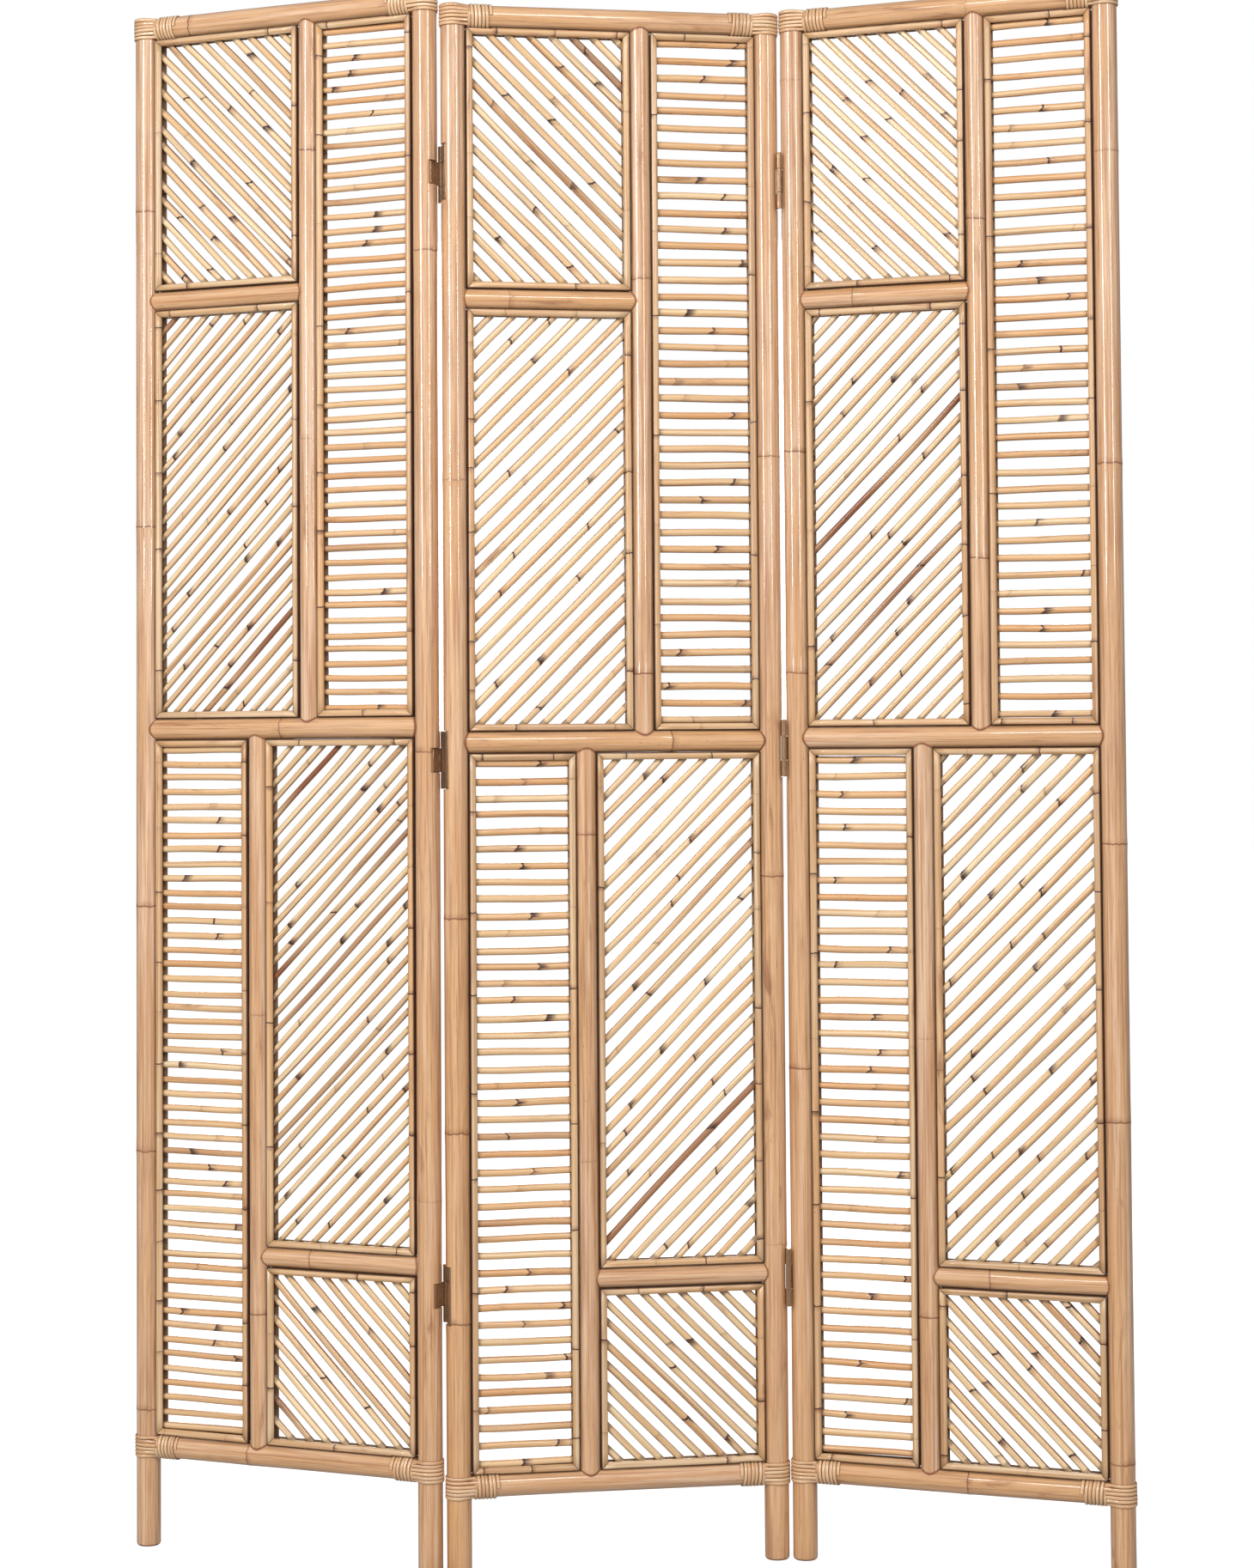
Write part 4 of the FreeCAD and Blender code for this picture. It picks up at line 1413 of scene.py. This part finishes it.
def plate_mesh(outline, holes, thickness, edge):
    """A flat plate with rounded edges, its outline and holes given in its own plane."""
    curve = bpy.data.curves.new("plate", "CURVE")
    curve.dimensions = "2D"
    curve.fill_mode = "BOTH"
    curve.extrude = thickness / 2 - edge
    curve.bevel_depth = edge
    curve.bevel_resolution = 1
    curve.offset = -edge
    for points in [outline, *holes]:
        spline = curve.splines.new("POLY")
        spline.points.add(len(points) - 1)
        for point, (x, y) in zip(spline.points, points):
            point.co = (x, y, 0, 1)
        spline.use_cyclic_u = True
    holder = link(bpy.data.objects.new("plate", curve))
    mesh = evaluated_mesh(holder)
    bpy.data.objects.remove(holder)
    return mesh


def circle_points(radius, count):
    angles = [2 * math.pi * index / count for index in range(count)]
    return [(radius * math.cos(angle), radius * math.sin(angle)) for angle in angles]


def rounded(corners, radius):
    """An outline whose marked corners are rounded: corners are (x, y, is_rounded)."""
    points = []
    for index, (x, y, is_rounded) in enumerate(corners):
        here = Vector((x, y))
        if not is_rounded:
            points.append((x, y))
            continue
        before = (Vector(corners[index - 1][:2]) - here).normalized()
        after = (Vector(corners[(index + 1) % len(corners)][:2]) - here).normalized()
        centre = here + (before + after) * radius
        for share in range(5):
            angle = math.pi / 2 * share / 4
            spot = centre - after * radius * math.cos(angle) - before * radius * math.sin(angle)
            points.append((spot.x, spot.y))
    return points


def lathe(work, profile, origin, axis, sides, hollow=False):
    """Adds a turned shape to work. Its profile is (radius, height) pairs from one closed end
    to the other, or the section of a ring where it is hollow."""
    across = axis.orthogonal().normalized()
    beside = axis.cross(across)
    rings = []
    for radius, height in profile:
        centre = origin + axis * height
        rings.append([work.verts.new(centre + across * x + beside * y)
                      for x, y in circle_points(radius, sides)])
    if hollow:
        rings.append(rings[0])
    for near, far in zip(rings, rings[1:]):
        for side in range(sides):
            following = (side + 1) % sides
            work.faces.new((near[side], near[following], far[following], far[side]))
    if not hollow:
        work.faces.new(list(reversed(rings[0])))
        work.faces.new(rings[-1])


def finish_mesh(work, name, material, sharp=math.radians(32)):
    """A closed mesh with outward faces, smooth but for its sharp edges."""
    bmesh.ops.remove_doubles(work, verts=work.verts, dist=2e-6)
    bmesh.ops.recalc_face_normals(work, faces=work.faces)
    for face in work.faces:
        face.smooth = True
    for edge in work.edges:
        edge.smooth = not (len(edge.link_faces) == 2 and edge.calc_face_angle(0) > sharp)
    mesh = mesh_from(work, name)
    mesh.materials.append(material)
    return mesh


def leaf_work(line, part, inner_span, screws, is_outer):
    """One hinge leaf with its knuckles, in a work mesh."""
    sizes = bpy.context.scene.screen_sizes
    low, high = span(part)
    reach = max((corner - line.axis).dot(line.along) for corner in part)
    outline = [(0, low, False), (reach, low, True), (reach, high, True), (0, high, False)]
    knuckles = [(low, high)]
    if is_outer:
        bottom = inner_span[0] - LEAF_GAP
        top = inner_span[1] + LEAF_GAP
        outline += [(0, top, False), (reach - LEAF_SPINE, top, False),
                    (reach - LEAF_SPINE, bottom, False), (0, bottom, False)]
        knuckles = [(low, bottom), (top, high)]
    holes = []
    for spot in screws:
        middle = (spot - line.axis).dot(line.along)
        holes.append([(middle + x, spot.z + y)
                      for x, y in circle_points(sizes.screw_radius + HOLE_GAP, HOLE_SIDES)])
    mesh = plate_mesh(rounded(outline, sizes.leaf_corner), holes, line.thickness,
                      sizes.leaf_edge)
    turn = Matrix((line.along, UP, line.outward)).transposed().to_4x4()
    turn.translation = line.axis - line.outward * (line.thickness / 2)
    mesh.transform(turn)
    work = work_on(mesh)
    bpy.data.meshes.remove(mesh)
    face = KNUCKLE_RADIUS - KNUCKLE_EDGE
    for start, end in knuckles:
        tall = end - start
        profile = [(KNUCKLE_BORE, 0), (face, 0), (KNUCKLE_RADIUS, KNUCKLE_EDGE),
                   (KNUCKLE_RADIUS, tall - KNUCKLE_EDGE), (face, tall), (KNUCKLE_BORE, tall)]
        lathe(work, profile, line.axis + UP * start, UP, KNUCKLE_SIDES, hollow=True)
    return work


def screw_spots(node, line):
    """Middle of each screw's head, on the leaf's outer face."""
    spots = []
    for part in loose_parts(node):
        outermost = max(corner.dot(line.outward) for corner in part)
        heads = [corner for corner in part if corner.dot(line.outward) > outermost - 1e-5]
        spots.append(sum(heads, Vector()) / len(heads))
    return spots


def screw_template():
    """A slotted countersunk screw, its head's rim at the origin and its shank down."""
    radius = bpy.context.scene.screen_sizes.screw_radius
    work = bmesh.new()
    profile = [(0.0003, -0.0108), (0.0011, -0.0085), (0.0012, -0.0012), (radius, -0.0001),
               (radius, 0.0), (radius * 0.8, 0.00022), (radius * 0.4, 0.00034)]
    lathe(work, profile, Vector(), UP, SCREW_SIDES)
    screw = link(bpy.data.objects.new("screw", finish_mesh(work, "screw", bronze_material())))
    slot = bmesh.new()
    bmesh.ops.create_cube(slot, size=1.0)
    for vertex in slot.verts:
        x, y, z = vertex.co
        vertex.co = (x * SLOT[0], y * SLOT[1], z * SLOT[2] + SLOT_LIFT)
    cutter = link(bpy.data.objects.new("slot", mesh_from(slot, "slot")))
    cut = screw.modifiers.new("Slot", "BOOLEAN")
    cut.object = cutter
    cut.operation = "DIFFERENCE"
    cut.solver = "EXACT"
    made = evaluated_mesh(screw)
    bpy.data.objects.remove(cutter)
    bpy.data.objects.remove(screw)
    return made


def fastener_tree():
    """Sets a fastener on each point, turned outwards and by its own angle."""
    tree, given = new_tree(
        "Fasteners", "GeometryNodeTree",
        {"Points": "Geometry", "Fastener": "Object", "Size": 1.0, "Seed": 5,
         "Material": "Material"}, {"Fasteners": "Geometry"})
    shape = add_node(tree, "GeometryNodeObjectInfo", {"Object": given["Fastener"]},
                     "Geometry")
    facing = add_node(tree, "FunctionNodeAlignRotationToVector",
                      {"Vector": named(tree, "out", "FLOAT_VECTOR")}, axis="Z")
    number = add_node(tree, "GeometryNodeInputIndex")
    spin = combined(0.0, 0.0, random_value(0.0, 3.1, number, given["Seed"]))
    spin = add_node(tree, "FunctionNodeEulerToRotation", {0: spin})
    turned = add_node(tree, "FunctionNodeRotateRotation", {0: facing, 1: spin},
                      rotation_space="LOCAL")
    placed = add_node(tree, "GeometryNodeInstanceOnPoints",
                      {"Points": given["Points"], "Instance": shape, "Rotation": turned,
                       "Scale": given["Size"]})
    return finish_tree(placed, given["Material"])


def screws_mesh(name, spots, line, template, seed):
    points = bpy.data.meshes.new("points")
    points.from_pydata([tuple(spot) for spot in spots], [], [])
    set_values(points, "out", [line.outward] * len(spots), "FLOAT_VECTOR")
    return run_tree(name, points, shared_tree("Fasteners", fastener_tree),
                    {"Fastener": template, "Size": 1.0, "Seed": seed,
                     "Material": bronze_material()})


def leaves_mesh(name, node, line, inner_spans, spots, is_outer):
    """All leaves of one kind on a hinge line, each with holes for its own screws."""
    whole = bmesh.new()
    for part, inner_span in zip(parts_upwards(node), inner_spans):
        low, high = span(part)
        own = [spot for spot in spots if low < spot.z < high]
        leaf = mesh_from(leaf_work(line, part, inner_span, own, is_outer), "leaf")
        whole.from_mesh(leaf)
        bpy.data.meshes.remove(leaf)
    return finish_mesh(whole, name, bronze_material())


def pins_mesh(name, node, line):
    """The turned pins of one hinge line."""
    work = bmesh.new()
    for part in loose_parts(node):
        low, high = span(part)
        tall = high - low
        profile = [(0.0010, 0.0), (0.0016, 0.0002), (0.00175, 0.0006),
                   (0.00175, tall - 0.0006), (0.0016, tall - 0.0002), (0.0010, tall)]
        lathe(work, profile, line.axis + UP * low, UP, PIN_SIDES)
    return finish_mesh(work, name, steel_material())


class PARTITION_OT_hinges(bpy.types.Operator):
    """Makes the hinge leaves, pins and screws of both joints"""

    bl_idname = "partition.hinges"
    bl_label = "Hinges"

    def execute(self, context):
        places = {panel: PanelPlace(panel) for panel in BODIES}
        template = link(bpy.data.objects.new("screw_template", screw_template()))
        seed = 3
        for joint, lines in hinge_lines(places).items():
            hinge = joint + "_hinge_"
            inner_spans = [span(part) for part in parts_upwards(hinge + "inner_leaves")]
            bodies = ("root", BODIES[HINGES[joint][2][0]])
            for kind, line, body in zip(("outer", "inner"), lines, bodies):
                leaves = hinge + kind + "_leaves"
                screws = hinge + kind + "_screws"
                spots = screw_spots(screws, line)
                mesh = leaves_mesh(leaves + "_plates", leaves, line, inner_spans, spots,
                                   kind == "outer")
                place_piece(leaves + "_plates", mesh, body, "hinge_bronze", leaves)
                seed += 1
                mesh = screws_mesh(screws + "_slotted", spots, line, template, seed)
                place_piece(screws + "_slotted", mesh, body, "screw_bronze", screws)
            pins = hinge + "pins"
            mesh = pins_mesh(pins + "_turned", pins, lines[0])
            place_piece(pins + "_turned", mesh, "root", "pin_steel", pins)
        bpy.data.objects.remove(template)
        return {"FINISHED"}


class PARTITION_OT_brads(bpy.types.Operator):
    """Gives the hidden brads their steel finish"""

    bl_idname = "partition.brads"
    bl_label = "Brads"

    def execute(self, context):
        for panel in BODIES:
            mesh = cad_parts[panel + "_brads"].data
            mesh.materials.clear()
            mesh.materials.append(steel_material())
        return {"FINISHED"}


# Studio


def floor_material(white):
    """White floor: a camera sees it as the backdrop, a little darker where a shadow falls."""
    material = bpy.data.materials.new("Studio floor")
    material.use_nodes = True
    tree = material.node_tree
    tree.nodes.clear()
    spot = add_node(tree, "ShaderNodeTexCoord", output="Object")
    grain = mask(noise_of(spot, (3.0, 3.0, 3.0), 1.0), 0.3, 0.7)
    colour = mix_colour(grain, (0.34, 0.34, 0.34, 1), (0.36, 0.36, 0.36, 1))
    matte = add_node(tree, "ShaderNodeBsdfDiffuse", {"Color": colour})
    seen = add_node(tree, "ShaderNodeLightPath", output="Is Camera Ray")
    glow = add_node(tree, "ShaderNodeEmission",
                    {"Color": (1, 1, 1, 1), "Strength": seen * white})
    both = add_node(tree, "ShaderNodeAddShader", {0: matte, 1: glow})
    connect(tree.nodes.new("ShaderNodeOutputMaterial"), {"Surface": both})
    return material


def studio_world(strength):
    """Even light that a camera sees as white and gloss sees a little dimmed."""
    world = bpy.data.worlds.new("Studio")
    world.use_nodes = True
    tree = world.node_tree
    tree.nodes.clear()
    path = named_outputs(tree.nodes.new("ShaderNodeLightPath"))
    seen = calculate("MAXIMUM", path["Is Camera Ray"], path["Is Transmission Ray"])
    sky = (1.0 - path["Is Glossy Ray"] * 0.4) * strength
    light, white = [add_node(tree, "ShaderNodeBackground",
                             {"Color": (1, 1, 1, 1), "Strength": value})
                    for value in (sky, 1.0)]
    both = add_node(tree, "ShaderNodeMixShader", {0: seen, 1: light, 2: white})
    connect(tree.nodes.new("ShaderNodeOutputWorld"), {"Surface": both})
    bpy.context.scene.world = world


def soft_lamp(name, degrees, distance, lift, width, tall, power):
    """A soft lamp round the screen, turned by degrees to the right of the camera."""
    studio = bpy.context.scene.screen_studio
    lamp = bpy.data.lights.new(name, "AREA")
    lamp.shape = "RECTANGLE"
    lamp.size = width
    lamp.size_y = tall
    lamp.energy = getattr(studio, power)
    holder = link(bpy.data.objects.new(name, lamp))
    holder.visible_camera = False
    # The low lamp would draw bright streaks on the lower poles
    holder.visible_glossy = name != "Low lamp"
    view = Vector(studio.camera_place) - LAMP_AIM
    view.z = 0
    turn = Matrix.Rotation(math.radians(degrees), 3, "Z")
    holder.location = LAMP_AIM + turn @ view.normalized() * distance + UP * lift
    holder.rotation_euler = (LAMP_AIM - holder.location).to_track_quat("-Z", "Y").to_euler()


def studio_camera():
    studio = bpy.context.scene.screen_studio
    camera = bpy.data.cameras.new("Camera")
    camera.lens = studio.lens
    camera.sensor_width = 36.0
    camera.shift_y = studio.camera_shift
    camera.clip_end = 100.0
    holder = link(bpy.data.objects.new("Camera", camera))
    turn = studio.camera_turn
    level = Vector((math.sin(turn), math.cos(turn), 0))
    beside = Vector((level.y, -level.x, 0))
    pitch = studio.camera_pitch
    ahead = level * math.cos(pitch) + UP * math.sin(pitch)
    above = UP * math.cos(pitch) - level * math.sin(pitch)
    roll = studio.camera_roll
    right = beside * math.cos(roll) + above * math.sin(roll)
    top = above * math.cos(roll) - beside * math.sin(roll)
    facing = Matrix((right, top, -ahead)).transposed().to_4x4()
    facing.translation = Vector(studio.camera_place)
    holder.matrix_world = facing
    bpy.context.scene.camera = holder


class PARTITION_OT_studio(bpy.types.Operator):
    """Sets up the floor, the lamps and the camera"""

    bl_idname = "partition.studio"
    bl_label = "Studio"

    def execute(self, context):
        studio = context.scene.screen_studio
        work = bmesh.new()
        bmesh.ops.create_grid(work, x_segments=4, y_segments=4, size=20.0)
        mesh = mesh_from(work, "studio_floor")
        mesh.materials.append(floor_material(studio.floor_white))
        floor = link(bpy.data.objects.new("studio_floor", mesh))
        studio_world(studio.world_strength)
        for name, values in LAMPS.items():
            soft_lamp(name, *values)
        studio_camera()
        context.scene.view_settings.view_transform = "Standard"
        return {"FINISHED"}


class PARTITION_PT_panel(bpy.types.Panel):
    """Lists the screen's pieces, sizes, colours and studio"""

    bl_label = "Partition screen"
    bl_idname = "PARTITION_PT_panel"
    bl_space_type = "VIEW_3D"
    bl_region_type = "UI"
    bl_category = "Screen"

    def draw(self, context):
        layout = self.layout
        for operator in OPERATORS:
            layout.operator(operator.bl_idname)
        for title, group in (("Sizes", context.scene.screen_sizes),
                             ("Colours", context.scene.screen_colours),
                             ("Studio", context.scene.screen_studio)):
            box = layout.box()
            box.label(text=title)
            for name in group.bl_rna.properties.keys():
                if name not in ("rna_type", "name"):
                    box.prop(group, name)


OPERATORS = (PARTITION_OT_poles, PARTITION_OT_rods, PARTITION_OT_beading,
             PARTITION_OT_bindings, PARTITION_OT_hinges, PARTITION_OT_brads,
             PARTITION_OT_studio)
GROUPS = {"screen_sizes": ScreenSizes, "screen_colours": ScreenColours,
          "screen_studio": ScreenStudio}
CLASSES = (*GROUPS.values(), *OPERATORS, PARTITION_PT_panel)


def register():
    for item in CLASSES:
        bpy.utils.register_class(item)
    for name, group in GROUPS.items():
        setattr(bpy.types.Scene, name, bpy.props.PointerProperty(type=group))


def unregister():
    for name in GROUPS:
        delattr(bpy.types.Scene, name)
    for item in reversed(CLASSES):
        bpy.utils.unregister_class(item)


def main():
    register()
    bpy.ops.partition.poles()
    bpy.ops.partition.rods()
    bpy.ops.partition.beading()
    bpy.ops.partition.bindings()
    bpy.ops.partition.hinges()
    bpy.ops.partition.brads()
    bpy.ops.partition.studio()


if __name__ == "__main__":
    main()
